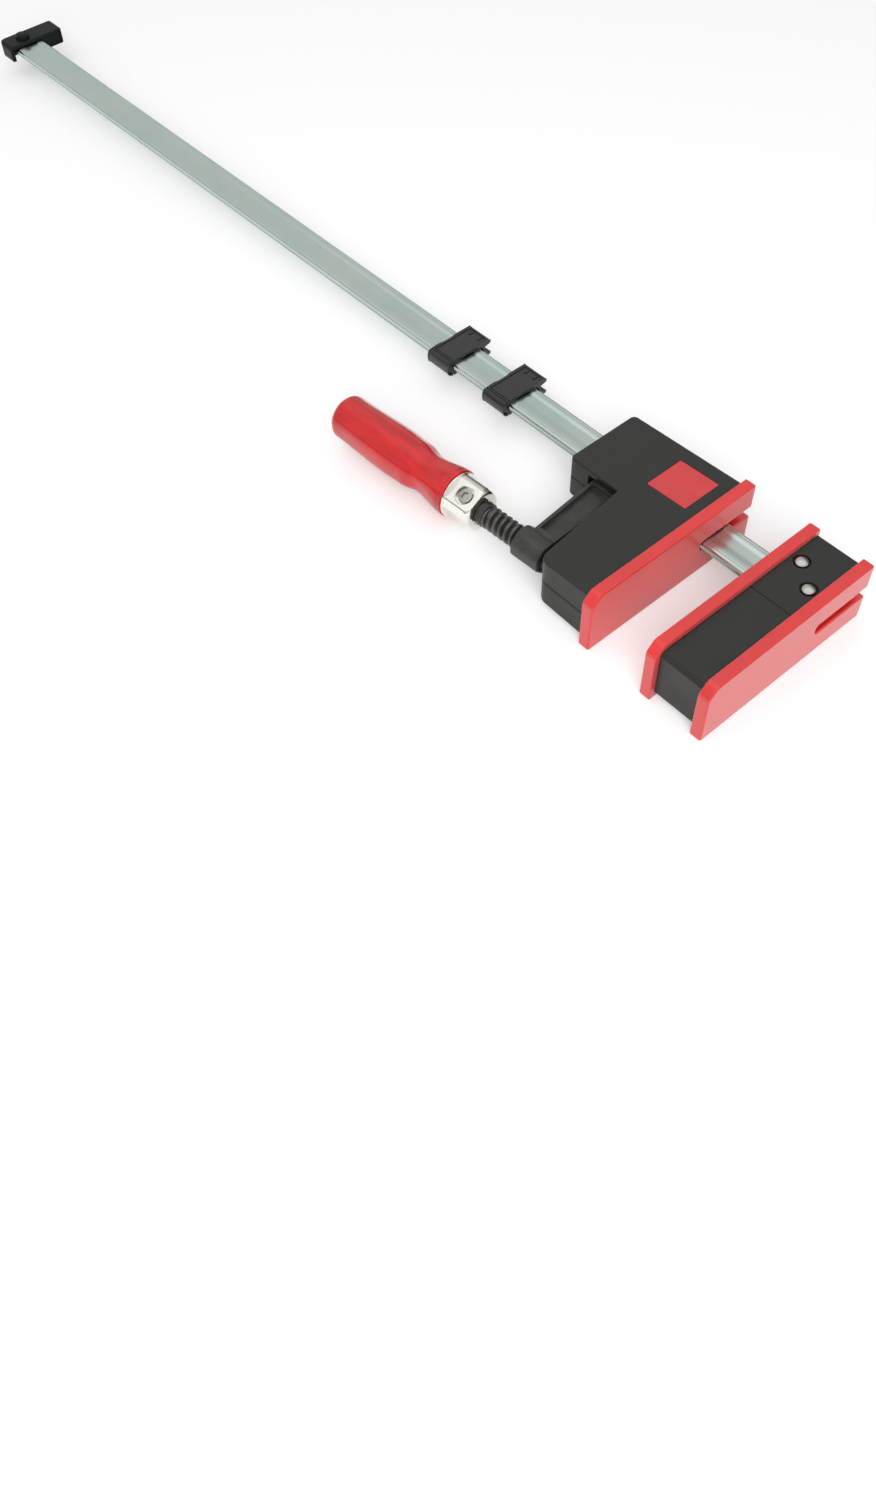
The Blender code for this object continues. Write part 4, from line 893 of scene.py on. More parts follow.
def rivet_hole(place):
    """A cutter for a rivet's hole, with a round recess at both ends that is wider at its rim."""
    floor = FIXED_TOP - RIVET_RECESS_DEPTH
    small, wide = RIVET_RECESS_RADIUS - GAP, RIVET_RECESS_RADIUS + GAP
    half = [
        (floor, RIVET_RADIUS + GAP), (floor, small), (FIXED_TOP - GAP, small),
        (FIXED_TOP + GAP, wide), (FIXED_TOP + OVERRUN, wide), (FIXED_TOP + OVERRUN, 0),
    ]
    return upright(turned("rivet hole", both_ways(half)), place)


def rivet(place):
    """A rivet with a domed head at both ends."""
    seat = FIXED_TOP - RIVET_RECESS_DEPTH + GAP
    half = [(seat, RIVET_RADIUS), (seat, RIVET_HEAD_RADIUS - GAP / 2), (seat + GAP / 2, RIVET_HEAD_RADIUS)]
    half += dome(seat + RIVET_RIM, RIVET_HEAD_HEIGHT - RIVET_RIM, RIVET_HEAD_RADIUS)
    return upright(turned("rivet", both_ways(half)), place)


# Moving jaw

def housing_height(x):
    """Half height of the housing at a distance behind its clamping face."""
    share = (HOUSING_LENGTH + x) / (HOUSING_LENGTH - PAD_BACK_FACE)
    return HOUSING_REAR_HALF + share * (HOUSING_FRONT_HALF - HOUSING_REAR_HALF)


def housing_outline(grow=0):
    """The housing seen from above, its front end moved forward by grow."""
    front = grow - PAD_BACK_FACE
    back = PAD_BACK - HOUSING_BACK_INSET
    end = HOUSING_END_INSET - PAD_THROAT
    return rounded([
        (front, back, 0),
        (-HOUSING_LENGTH, back, HOUSING_CORNER),
        (-HOUSING_LENGTH, -HOUSING_REAR_SIDE, HOUSING_CORNER),
        (-NOTCH_X, -NOTCH_Y, 0),
        (-THROAT_END_X, end, HOUSING_END_ROUND),
        (front, end, 0),
    ])


def raised(outline, side, drop):
    """Put an outline on the housing's sloping top, or a drop below it."""
    return [(x, y, side * (housing_height(x) - drop)) for x, y in outline]


def arm_opening(side):
    """A cutter for the opening that the arm and its boss move in."""
    inner = POCKET_DEPTH - NOTCH_X
    outside = -NOTCH_Y - OVERRUN
    wall = SHELL_WALL + OVERRUN - NOTCH_Y
    outline = [
        (-ARM_SLOT_X, wall), (-ARM_SLOT_X, outside), (-NOTCH_X - OVERRUN, outside),
        (-NOTCH_X - OVERRUN, BALL_Y), (inner, BALL_Y), (inner, wall),
    ]
    return prism("opening", outline, -side * OVERRUN, side * ARM_SLOT_HALF)


def bar_hole(low_x, high_x):
    """A cutter for the opening that the bar runs through."""
    reach = BAR_HALF + PLAY
    return block((low_x, -reach, -SLOT_HALF), (high_x, reach, SLOT_HALF))


def shell(side, sizes):
    """One half of the housing, split at the middle of the bar."""
    outline = housing_outline()
    front = -PAD_BACK_FACE
    split = side * GAP / 2
    rings = [across("Z", inset_behind(outline, SEAM_WIDTH, front), split)]
    rings.append(across("Z", outline, split + side * SEAM_WIDTH))
    for run, drop in reversed(quarter_turn(sizes.housing_round)):
        rings.append(raised(inset_behind(outline, run, front), side, drop))
    half = loft("shell", rings)
    inner = inset(housing_outline(OVERRUN + SHELL_WALL), SHELL_WALL)
    cavity = loft("cavity", [across("Z", inner, -side * OVERRUN), raised(inner, side, SHELL_WALL)])
    for place in SHELL_SCREWS:
        cut(cavity, rod(SCREW_HEAD_RADIUS + CROSS_RECESS, -PAD_TOP, PAD_TOP, centre=place))
    pocket = rod(POCKET_RADIUS, -NOTCH_X - OVERRUN, POCKET_DEPTH - NOTCH_X, "X", (BALL_Y, 0))
    rear = bar_hole(-HOUSING_LENGTH - OVERRUN, OVERRUN + SHELL_WALL - HOUSING_LENGTH)
    return cut(half, cavity, arm_opening(side), pocket, rear)


def inset_behind(outline, distance, front):
    """Inset an outline, but keep its front end where it is."""
    points = []
    for small, full in zip(inset(outline, distance), outline):
        points.append((front if full[0] == front else small[0], small[1]))
    return points


def label_corners(grow, corner=0):
    """The label's rectangle on the housing, larger by grow on every side."""
    low = (LABEL_LOW.x - MOVING_HIGH.x - grow, LABEL_LOW.y - SHOP.y - grow)
    high = (LABEL_HIGH.x - MOVING_HIGH.x + grow, LABEL_HIGH.y - SHOP.y + grow)
    return rectangle(low, high, corner)


def top_shell(sizes):
    """The upper half, with the recess for the label."""
    half = shell(1, sizes)
    area = label_corners(GAP, LABEL_CORNER)
    return cut(half, loft("recess", [raised(area, 1, LABEL_SINK), raised(area, 1, -OVERRUN)]))


def bottom_shell(sizes):
    """The lower half, with sunk holes for the screw heads."""
    half = shell(-1, sizes)
    small = SCREW_HEAD_RADIUS + GAP
    wide = small + GAP
    tools = []
    for place in SHELL_SCREWS:
        outside = -housing_height(place[0])
        profile = [
            (outside - OVERRUN, 0), (outside - OVERRUN, wide), (outside - GAP, wide),
            (outside + GAP, small), (outside + SCREW_SINK, small), (outside + SCREW_SINK, 0),
        ]
        tools.append(upright(turned("hole", profile, TURN_STEPS // 2), place))
    return cut(half, *tools)


def label_plate():
    """The plain label: a red plate with a fine raised border."""
    full = label_corners(0, LABEL_CORNER - GAP)
    inner = inset(full, LABEL_BORDER)
    edge = LABEL_RAISE / 2
    rings = [raised(full, 1, LABEL_THICKNESS), raised(full, 1, edge), raised(inset(full, edge), 1, 0)]
    rings += [raised(inner, 1, 0), raised(inset(inner, edge), 1, LABEL_RAISE)]
    return loft("label", rings)


def shell_screw(place):
    """A sunk housing screw with a cross recess."""
    head = SCREW_SINK - housing_height(place[0]) - GAP - SCREW_HEAD_HEIGHT
    under = head + SCREW_HEAD_HEIGHT
    radius = SCREW_HEAD_RADIUS
    shank = radius / 2
    screw = turned("screw", [
        (head, 0), (head, radius - 2 * GAP), (head + GAP / 2, radius - GAP), (head + 2 * GAP, radius),
        (under, radius), (under, shank), (-head / 2, shank), (-head / 2, 0),
    ], TURN_STEPS // 2)
    long = radius * CROSS_SHARE
    thin = CROSS_RECESS / 2
    for a, b in ((long, thin), (thin, long)):
        cut(screw, block((head - OVERRUN, -a, -b), (head + CROSS_RECESS, a, b)))
    return upright(screw, place)


# Sliding arm

def arm_outline():
    """The arm's blade seen from above, from the boss to beyond the bar."""
    top = BAR_IN_ARM + EYE_HALF + ARM_HEAD_WALL
    return rounded([
        (-ARM_REAR_LOW, 0, 0), (ARM_FRONT, 0, 0), (ARM_FRONT, top, ARM_HEAD_ROUND),
        (-ARM_REAR_HIGH, top, ARM_HEAD_ROUND), (-ARM_REAR_HIGH, BOSS_Y - ARM_HEAD_REACH, 0),
    ])


def boss_section():
    """The boss's section: round with soft flats."""
    corner = math.acos(BOSS_FLAT / BOSS_RADIUS)
    points = []
    for i in range(BOSS_SIDES):
        for step in range(BOSS_STEPS + 1):
            turn = corner * (2 * step / BOSS_STEPS - 1)
            reach = BOSS_FLAT / math.cos(turn)
            angle = 2 * math.pi * i / BOSS_SIDES + turn
            points.append((reach * math.cos(angle), reach * math.sin(angle)))
    return points


def arm(sizes):
    """The forged arm: boss, ribbed blade and the eye that rides on the bar."""
    blade = prism("arm", arm_outline(), -ARM_HALF_HEIGHT, ARM_HALF_HEIGHT)
    start = BOSS_FLAT - ARM_WEB_ROUND
    end = BOSS_Y - ARM_HEAD_REACH
    slope = (ARM_REAR_HIGH - ARM_REAR_LOW) / end
    front = ARM_FRONT - ARM_FRONT_RIB
    web = rounded([
        (ARM_REAR_RIB - ARM_REAR_LOW - slope * start, start, 0), (front, start, 0),
        (front, end, ARM_WEB_ROUND), (ARM_REAR_RIB - ARM_REAR_HIGH, end, ARM_WEB_ROUND),
    ], EDGE_STEPS)
    reach = ARM_FRONT + ARM_REAR_HIGH
    tools = [block(
        (-reach, BAR_IN_ARM - EYE_HALF, -SLOT_HALF), (reach, BAR_IN_ARM + EYE_HALF, SLOT_HALF),
    )]
    for side in (-1, 1):
        tools.append(prism("web", web, side * ARM_WEB_HALF, side * (ARM_HALF_HEIGHT + OVERRUN)))
    cut(blade, *tools)
    ease_edges(blade, min(sizes.arm_round, ARM_FRONT_RIB * ARM_EDGE_SHARE))
    half = BOSS_LENGTH / 2
    fuse(blade, slab("boss", boss_section(), -half, half, BOSS_CHAMFER, BOSS_CHAMFER, "X"))
    return cut(blade, rod(BORE_RADIUS, -BOSS_LENGTH, BOSS_LENGTH, "X"))


# Spindle, ferrule, screw and handle

def thread_profile():
    """One turn of the thread with rounded crests: share of the pitch and radius."""
    core = THREAD_RADIUS - THREAD_DEPTH
    places = ((0, 0), (0.12, 0), (0.22, 0.06), (0.3, 0.5), (0.37, 0.9), (0.43, 1),
              (0.58, 1), (0.73, 1), (0.79, 0.9), (0.87, 0.4))
    return [(share * THREAD_PITCH, core + depth * THREAD_DEPTH) for share, depth in places]


def thread():
    """A right-hand thread as one helical skin that fades into the core at both ends."""
    bm = bmesh.new()
    profile = thread_profile()
    core = profile[0][1]
    turns = round((THREAD_FRONT + THREAD_REAR) / THREAD_PITCH) - 1
    rows = turns * len(profile) + 1
    ahead = len(profile)
    grid = []
    for row in range(rows + ahead):
        turn, place = divmod(row, ahead)
        offset, crest = profile[place]
        ring = []
        for step in range(THREAD_STEPS):
            along = turn + step / THREAD_STEPS
            fade = max(0.0, min(1.0, 2 * along, 2 * (turns + 1 - along)))
            radius = core + (crest - core) * fade
            angle = 2 * math.pi * step / THREAD_STEPS
            x = THREAD_PITCH * along + offset - THREAD_REAR
            ring.append(bm.verts.new((x, radius * math.cos(angle), radius * math.sin(angle))))
        grid.append(ring)
    last = THREAD_STEPS - 1
    for row in range(rows - 1):
        here, beyond = grid[row], grid[row + 1]
        for step in range(last):
            bm.faces.new((here[step], here[step + 1], beyond[step + 1], beyond[step]))
        bm.faces.new((here[last], grid[row + ahead][0], grid[row + ahead + 1][0], beyond[last]))
    for start in (0, rows - 1):
        edge = grid[start] + [grid[start + ahead - i][0] for i in range(ahead)]
        hub = bm.verts.new((edge[0].co.x, 0, 0))
        for first, second in zip(edge, edge[1:] + edge[:1]):
            bm.faces.new((hub, first, second))
    spare = [vertex for vertex in bm.verts if not vertex.link_faces]
    bmesh.ops.delete(bm, geom=spare, context="VERTS")
    return new_piece("thread", bm)


def spindle():
    """The screw: ball, neck, thread, shoulder and the tang in the handle."""
    centre = (Vector((CUP_HIGH.x, (CUP_LOW.y + CUP_HIGH.y) / 2, BOSS.z)) - BOSS).length
    centre -= CUP_HIGH.x - CUP_LOW.x - BALL_RADIUS
    stop = math.pi - math.asin(NECK_RADIUS / BALL_RADIUS)
    ball = arc((centre, 0), BALL_RADIUS, 0, stop, 2 * ARC_STEPS)
    core = THREAD_RADIUS - THREAD_DEPTH - GAP
    front = THREAD_FRONT - THREAD_PITCH
    tip = turned("tip", ball + [(front, NECK_RADIUS), (front - OVERRUN, core), (0, core)])
    rear = GAP - FERRULE_FRONT
    profile = [(0, core), (-SHOULDER_FRONT, core)]
    spacing = (SHOULDER_FRONT + rear) / SHOULDER_GROOVES
    for groove in range(SHOULDER_GROOVES):
        place = groove * spacing - SHOULDER_FRONT
        profile.append((place, SHOULDER_RADIUS - SHOULDER_GROOVE_DEPTH))
        profile += [(place + spacing * share, SHOULDER_RADIUS) for share in SHOULDER_CREST]
    profile += [(rear, TANG_RADIUS), (-FERRULE_REAR - TANG_LENGTH, TANG_RADIUS)]
    return join("spindle", thread(), tip, turned("tail", profile))


def ferrule_section(radius, flat):
    """A round section with four flats, which end where the radius is smaller than they are."""
    corner = math.acos(FERRULE_FLAT / FERRULE_RADIUS)
    round_part = RIGHT_ANGLE - 2 * corner
    turns = [corner * i / ARC_STEPS for i in range(-ARC_STEPS, ARC_STEPS + 1)]
    turns += [corner + round_part * i / ARC_STEPS for i in range(1, ARC_STEPS)]
    points = []
    for quarter in range(4):
        for turn in turns:
            reach = min(radius, flat / max(math.cos(turn), math.sin(turn)))
            angle = quarter * RIGHT_ANGLE + turn
            points.append((reach * math.cos(angle), reach * math.sin(angle)))
    return points


def ferrule_ring(place, radius, flat=FERRULE_FLAT):
    """The ferrule's section at a place along the spindle."""
    return across("X", ferrule_section(radius, flat), place)


def ferrule():
    """The nickel-plated sleeve with four flats, a rounded nose and a seat for the cross screw."""
    rim = quarter_turn(GAP)
    edges = [(run, depth - FERRULE_REAR - COLLAR_LENGTH) for run, depth in rim]
    edges += [(run, -FERRULE_REAR - depth) for run, depth in reversed(rim)]
    rings = [ferrule_ring(place, COLLAR_RADIUS - run, COLLAR_RADIUS) for run, place in edges]
    rings.append(ferrule_ring(-FERRULE_REAR, FERRULE_RADIUS))
    for i in range(ARC_STEPS + 1):
        turn = i / ARC_STEPS * RIGHT_ANGLE
        radius = FERRULE_RADIUS + (FERRULE_NOSE_RADIUS - FERRULE_RADIUS) * (1 - math.cos(turn))
        rings.append(ferrule_ring(FERRULE_NOSE * (math.sin(turn) - 1) - FERRULE_FRONT, radius))
    sleeve = loft("ferrule", rings)
    bore = rod(TANG_RADIUS + GAP, -HANDLE_FRONT - OVERRUN, OVERRUN - FERRULE_FRONT, "X")
    deep = GAP - FERRULE_FRONT - OVERRUN / 2
    wide = SHOULDER_RADIUS + GAP
    front = OVERRUN - FERRULE_FRONT
    mouth = turned("mouth", [(deep, 0), (deep, wide), (front, wide + OVERRUN), (front, 0)])
    edge = FERRULE_FLAT - GAP
    seat = turned("seat", [
        (SEAT_DEPTH, 0), (SEAT_DEPTH, SEAT_RADIUS - GAP), (edge, SEAT_RADIUS - GAP),
        (edge + 2 * GAP, SEAT_RADIUS + GAP), (FERRULE_RADIUS, SEAT_RADIUS + GAP), (FERRULE_RADIUS, 0),
    ])
    hole = rod(CROSS_SHANK + GAP, 0, FERRULE_RADIUS, centre=(CROSS_X, 0))
    cut(sleeve, bore, mouth, upright(seat, (CROSS_X, 0)), hole)
    sleeve.data.transform(Matrix.Rotation(FERRULE_TURN, 4, "X"))
    return sleeve


def cross_screw():
    """The socket screw that locks ferrule and spindle together."""
    under = SEAT_DEPTH + GAP
    top = SEAT_DEPTH + CROSS_HEAD_HEIGHT
    radius = CROSS_HEAD_RADIUS
    screw = turned("socket screw", [
        (-CROSS_REACH, 0), (-CROSS_REACH, CROSS_SHANK), (under, CROSS_SHANK), (under, radius),
        (top - GAP, radius), (top - GAP / 3, radius - GAP / 3), (top, radius - GAP), (top, 0),
    ])
    cut(screw, rod(HEX_RADIUS, top - HEX_DEPTH, top + OVERRUN, "X", steps=6))
    stand = Matrix.Rotation(FERRULE_TURN, 4, "X") @ Matrix.Translation((CROSS_X, 0, 0))
    screw.data.transform(stand @ Matrix.Rotation(-RIGHT_ANGLE, 4, "Y"))
    return screw


def handle_profile():
    """Radius along the handle: rim, flared mouth, neck, long bulge and a nearly flat end."""
    neck = (NECK_SHARE * HANDLE_LENGTH, HANDLE_NECK)
    shoulder = (SHOULDER_SHARE * HANDLE_LENGTH, HANDLE_BULGE - HANDLE_FLATS)
    bulge = (BULGE_SHARE * HANDLE_LENGTH, HANDLE_BULGE)
    end = (HANDLE_LENGTH - HANDLE_CROWN - HANDLE_END_ROUND, HANDLE_END)
    half = HANDLE_GROOVE_HALF
    points = arc((HANDLE_RIM, HANDLE_MOUTH - HANDLE_RIM), HANDLE_RIM, math.pi, RIGHT_ANGLE, EDGE_STEPS)
    points += [
        (HANDLE_GROOVE - half, HANDLE_MOUTH), (HANDLE_GROOVE, HANDLE_MOUTH - HANDLE_GROOVE_DEPTH),
        (HANDLE_GROOVE + half, HANDLE_MOUTH),
    ]
    points += ease(points[-1], neck, 2 * ARC_STEPS)
    points += ease(neck, shoulder, 2 * ARC_STEPS)
    points += ease(shoulder, bulge, ARC_STEPS)
    points += ease(bulge, end, 2 * ARC_STEPS)
    points += arc((end[0], HANDLE_END - HANDLE_END_ROUND), HANDLE_END_ROUND, RIGHT_ANGLE, 0, ARC_STEPS)[1:]
    flat = points[-1][1]
    for step in range(1, EDGE_STEPS):
        share = step / EDGE_STEPS
        points.append((HANDLE_LENGTH - HANDLE_CROWN * (1 - share) ** 2, flat * (1 - share)))
    return points


def handle():
    """The lacquered handle, turned with soft flats that fade out at both ends."""
    rings = []
    for depth, radius in handle_profile():
        along = depth / HANDLE_LENGTH
        fade = max(0.0, min(1.0, HANDLE_FADE * along, HANDLE_FADE * (1 - along)))
        ring = []
        for i in range(HANDLE_STEPS):
            angle = 2 * math.pi * i / HANDLE_STEPS
            reach = radius - fade * HANDLE_FLATS * (1 + math.cos(HANDLE_SIDES * angle)) / 2
            ring.append((-HANDLE_FRONT - depth, reach * math.cos(angle), reach * math.sin(angle)))
        rings.append(ring)
    wood = loft("handle", rings)
    depth = FERRULE_REAR + TANG_LENGTH + GAP
    return cut(wood, rod(TANG_RADIUS + GAP, -depth, OVERRUN - HANDLE_FRONT, "X"))


# End cap

def corner_tool(corner, out, radius, low, high, axis):
    """A cutter that leaves a rounded edge along an axis, where out points away from the corner."""
    beyond_a, beyond_b = (place + way * OVERRUN for place, way in zip(corner, out))
    in_a, in_b = (place - way * radius for place, way in zip(corner, out))
    outline = [(beyond_a, beyond_b), (beyond_a, in_b)]
    for a, b in arc((0, 0), radius, 0, RIGHT_ANGLE, ARC_STEPS):
        outline.append((in_a + out[0] * a, in_b + out[1] * b))
    outline.append((in_a, beyond_b))
    return prism("edge", outline, low, high, axis)


def end_cap(sizes):
    """The plastic cap with its foot at the back and its sprung leg at the front."""
    rear = -CAP_FRONT - CAP_LENGTH
    front = OVERRUN - CAP_FRONT
    slot_end = -CAP_FRONT - CAP_LEG_SLOT
    below = -CAP_HALF - OVERRUN
    soft = sizes.cap_round
    back_round = soft * CAP_BACK_SHARE
    outline = rounded([
        (rear, -CAP_SIDE, CAP_SIDE_ROUND), (-CAP_FRONT, -CAP_SIDE, soft * CAP_LEG_SHARE),
        (-CAP_FRONT, PAD_BACK, back_round), (rear, PAD_BACK, back_round),
    ])
    cap = slab("cap", outline, -CAP_HALF, CAP_HALF, soft, soft)
    reach = BAR_HALF + GAP
    level = BAR_HALF_THICK + GAP
    panel = inset(rectangle((CAP_FOOT_Y, -CAP_HALF), (PAD_BACK, CAP_HALF)), CAP_PANEL_INSET)
    tools = [
        block((-BAR_TAIL - GAP, -reach, -level), (front, reach, level)),
        block((slot_end, CAP_LEG - CAP_SIDE, below), (front, -BAR_HALF, BAR_HALF_THICK)),
        prism("panel", panel, -CAP_FRONT - CAP_PANEL_DEPTH, front, "X"),
        rod(CAP_PIN_RADIUS + GAP, -PAD_TOP, PAD_TOP, centre=CAP_PIN),
    ]
    for side, radius in ((-1, CAP_LEG_ROUND), (1, CAP_EDGE_ROUND)):
        corner = (-CAP_SIDE, side * CAP_HALF)
        tools.append(corner_tool(corner, (-1, side), radius, rear - OVERRUN, front, "X"))
    sides = (-CAP_SIDE - OVERRUN, PAD_BACK + OVERRUN)
    tools.append(corner_tool((CAP_HALF, -CAP_FRONT), (1, 1), CAP_ROOF_ROUND, *sides, "Y"))
    tools.append(block((slot_end, -reach, below), (front, CAP_FLOOR_Y, -BAR_HALF_THICK)))
    return cut(cap, *tools)


def cap_pin():
    """The button that holds the cap on the bar, with a ring round its head."""
    seat = CAP_HALF + GAP
    foot = CAP_PIN_HEIGHT * CAP_PIN_FOOT
    profile = [
        (GAP - CAP_HALF, 0), (GAP - CAP_HALF, CAP_PIN_RADIUS), (seat, CAP_PIN_RADIUS),
        (seat, CAP_PIN_HEAD), (seat + CAP_PIN_HEIGHT * CAP_PIN_SIDE, CAP_PIN_HEAD),
        (seat + CAP_PIN_HEIGHT * CAP_PIN_LIP, CAP_PIN_HEAD - CAP_PIN_RING / 2),
    ]
    profile += dome(seat + foot, CAP_PIN_HEIGHT - foot, CAP_PIN_HEAD - 2 * CAP_PIN_RING)
    return upright(turned("pin", profile, TURN_STEPS // 2), CAP_PIN)


# Support clips

def clip_outline():
    """The clip's section in Y and Z: a channel with snap lips past the bar's back edge."""
    inner = SLOT_HALF
    outer = inner + CLIP_WALL
    edge = BAR_HALF + PLAY
    upper = [
        (edge, inner, 0), (edge + CLIP_LIP_RUN, CLIP_LIP_GAP, CLIP_LIP_ROUND),
        (CLIP_BACK, inner, CLIP_LIP_ROUND), (CLIP_BACK, outer, CLIP_BACK_ROUND),
    ]
    lower = [(y, -z, radius) for y, z, radius in reversed(upper)]
    wall = [(-edge, -inner, CLIP_INNER_ROUND), (-edge, inner, CLIP_INNER_ROUND)]
    front = [(-CLIP_SIDE, outer, CLIP_CORNER), (-CLIP_SIDE, -outer, CLIP_BELLY)]
    return rounded(upper + front + lower + wall, EDGE_STEPS)


def clip_hooks(half, outer):
    """The round snap hook behind the bar and the small foot on the clip's front wall."""
    reach = half + CLIP_HOOK_REACH
    centre = (BAR_HALF + PLAY + CLIP_HOOK_RADIUS + GAP, 0)
    hook = rod(CLIP_HOOK_RADIUS, -reach, reach, "X", centre, TURN_STEPS // 4)
    cut(hook, rod(CLIP_HOOK_HOLE, -reach - OVERRUN, reach + OVERRUN, "X", centre, TURN_STEPS // 4))
    foot = block(
        (half - CLIP_FOOT, 2 * GAP - CLIP_SIDE, CLIP_FOOT_RISE - outer),
        (half + CLIP_FOOT, 2 * CLIP_FOOT - CLIP_SIDE, 2 * CLIP_FOOT - outer),
    )
    return [hook, ease_edges(foot, GAP)]


def support_clip(sizes):
    """A clip about its own centre, with a sunk panel and two short ribs on each wide face."""
    half = CLIP_LENGTH / 2
    outer = SLOT_HALF + CLIP_WALL
    floor = outer - CLIP_PANEL_DEPTH
    soft = sizes.clip_round
    end_round = soft * CLIP_END_SHARE
    clip = slab("clip", clip_outline()[::-1], half, -half, end_round, end_round, "X")
    low_y = CLIP_CORNER + CLIP_PANEL_INSET - CLIP_SIDE
    high_y = CLIP_BACK - CLIP_PANEL_INSET
    wide = half - CLIP_PANEL_INSET
    panel = rectangle((-wide, low_y), (wide, high_y), soft)
    rib_end = high_y - CLIP_RIB
    tools = []
    ribs = clip_hooks(half, outer)
    for side in (-1, 1):
        levels = (side * floor, side * (outer + OVERRUN))
        tools.append(prism("panel", panel, *levels))
        for y in CLIP_LINES:
            line = rectangle((-half - OVERRUN, y), (half + OVERRUN, y + CLIP_LINE_WIDTH))
            tools.append(prism("line", line, *levels))
        arch = (side * (half + CLIP_ARCH_RADIUS - CLIP_ARCH_DEPTH), 0)
        tools.append(rod(CLIP_ARCH_RADIUS, -2 * outer, 2 * outer, centre=arch, steps=ARCH_STEPS))
        for x in (-wide / 2, wide / 2):
            rib = rectangle((x - CLIP_RIB, rib_end - CLIP_RIB_LENGTH), (x + CLIP_RIB, rib_end))
            ribs.append(prism("rib", rib, side * (floor - GAP), side * outer))
    return fuse(cut(clip, *tools), *ribs)


# Operators

class CLAMP_OT_bar(bpy.types.Operator):
    """Build the plated bar with fine teeth along both edges"""

    bl_idname = "clamp.bar"
    bl_label = "Bar"

    def execute(self, context):
        finish = zinc_plate("zinc_plate", context.scene.clamp_colours.zinc)
        piece = bar(context.scene.clamp_sizes)
        fit(piece, "plated_bar", TO_SHOP, finish, "rail", "rail_bar")
        return {"FINISHED"}


class CLAMP_OT_pads(bpy.types.Operator):
    """Build the three red pads of the jaws"""

    bl_idname = "clamp.pads"
    bl_label = "Pads"

    def execute(self, context):
        finish = pad_plastic("pad_plastic", context.scene.clamp_colours.pad_red)
        places = (
            ("fixed_face_pad", 0, -1, "rail"),
            ("fixed_back_pad", BACK_HIGH.x - SHOP.x, 1, "rail"),
            ("moving_face_pad", MOVING_HIGH.x - SHOP.x, 1, "jaw"),
        )
        for cad_node, face_x, facing, body in places:
            piece = pad(face_x, facing, context.scene.clamp_sizes)
            fit(piece, cad_node + "_skin", TO_SHOP, finish, body, cad_node)
        return {"FINISHED"}


class CLAMP_OT_fixed_jaw(bpy.types.Operator):
    """Build the body of the fixed jaw and its two rivets"""

    bl_idname = "clamp.fixed_jaw"
    bl_label = "Fixed jaw"

    def execute(self, context):
        colours = context.scene.clamp_colours
        black = moulded_plastic("fixed_jaw_plastic", colours.housing_black)
        body = fixed_body(context.scene.clamp_sizes)
        fit(body, "fixed_jaw_casing", TO_SHOP, black, "rail", "fixed_jaw_body")
        bright = nickel_plate("rivet_nickel", tinted(colours.nickel, RIVET_TONE))
        for cad_node, place in zip(("rivet_front", "rivet_rear"), RIVETS):
            fit(rivet(place), cad_node + "_domed", TO_SHOP, bright, "rail", cad_node)
        return {"FINISHED"}


class CLAMP_OT_housing(bpy.types.Operator):
    """Build the two halves of the moving jaw's housing and their screws"""

    bl_idname = "clamp.housing"
    bl_label = "Housing"

    def execute(self, context):
        colours = context.scene.clamp_colours
        sizes = context.scene.clamp_sizes
        black = moulded_plastic("housing_plastic", colours.housing_black)
        for end, build in (("top", top_shell), ("bottom", bottom_shell)):
            cad_node = "jaw_shell_" + end
            fit(build(sizes), "housing_" + end, TO_JAW, black, "jaw", cad_node)
        steel = blackened_steel("screw_steel", colours.black_steel)
        for number, place in enumerate(SHELL_SCREWS, 1):
            cad_node = f"shell_screw_{number}"
            fit(shell_screw(place), cad_node + "_head", TO_JAW, steel, "jaw", cad_node)
        return {"FINISHED"}


class CLAMP_OT_label(bpy.types.Operator):
    """Build the plain red label plate"""

    bl_idname = "clamp.label"
    bl_label = "Label"

    def execute(self, context):
        finish = label_plastic("label_plastic", context.scene.clamp_colours.label_red)
        fit(label_plate(), "plain_label", TO_JAW, finish, "jaw", "jaw_label")
        return {"FINISHED"}


class CLAMP_OT_arm(bpy.types.Operator):
    """Build the forged sliding arm"""

    bl_idname = "clamp.arm"
    bl_label = "Sliding arm"

    def execute(self, context):
        finish = blackened_steel("arm_steel", context.scene.clamp_colours.black_steel)
        piece = arm(context.scene.clamp_sizes)
        fit(piece, "forged_arm", TO_SCREW, finish, "arm", "sliding_arm", angle=25)
        return {"FINISHED"}


class CLAMP_OT_spindle(bpy.types.Operator):
    """Build the threaded spindle, the ferrule and its cross screw"""

    bl_idname = "clamp.spindle"
    bl_label = "Spindle and ferrule"

    def execute(self, context):
        colours = context.scene.clamp_colours
        steel = blackened_steel("spindle_steel", colours.screw_grey, metal=0.8, roughness=0.24)
        bright = nickel_plate("ferrule_nickel", colours.nickel)
        grey = nickel_plate("socket_steel", tinted(colours.nickel, SOCKET_TONE))
        rows = (
            (spindle, "threaded_spindle", steel, "black_steel", "spindle", 50),
            (ferrule, "nickel_ferrule", bright, "nickel_steel", "handle_ferrule", 25),
            (cross_screw, "socket_screw", grey, "nickel_steel", "cross_screw", 30),
        )
        for build, name, finish, slot, cad_node, angle in rows:
            fit(build(), name, TO_SCREW, finish, "spindle_group", cad_node, angle=angle)
        return {"FINISHED"}


class CLAMP_OT_handle(bpy.types.Operator):
    """Build the lacquered wooden handle"""

    bl_idname = "clamp.handle"
    bl_label = "Handle"

    def execute(self, context):
        finish = lacquered_wood("red_lacquer", context.scene.clamp_colours.handle_red)
        body, slot = "spindle_group", "lacquered_wood"
        fit(handle(), "turned_handle", TO_SCREW, finish, body, "wood_handle", angle=60)
        return {"FINISHED"}


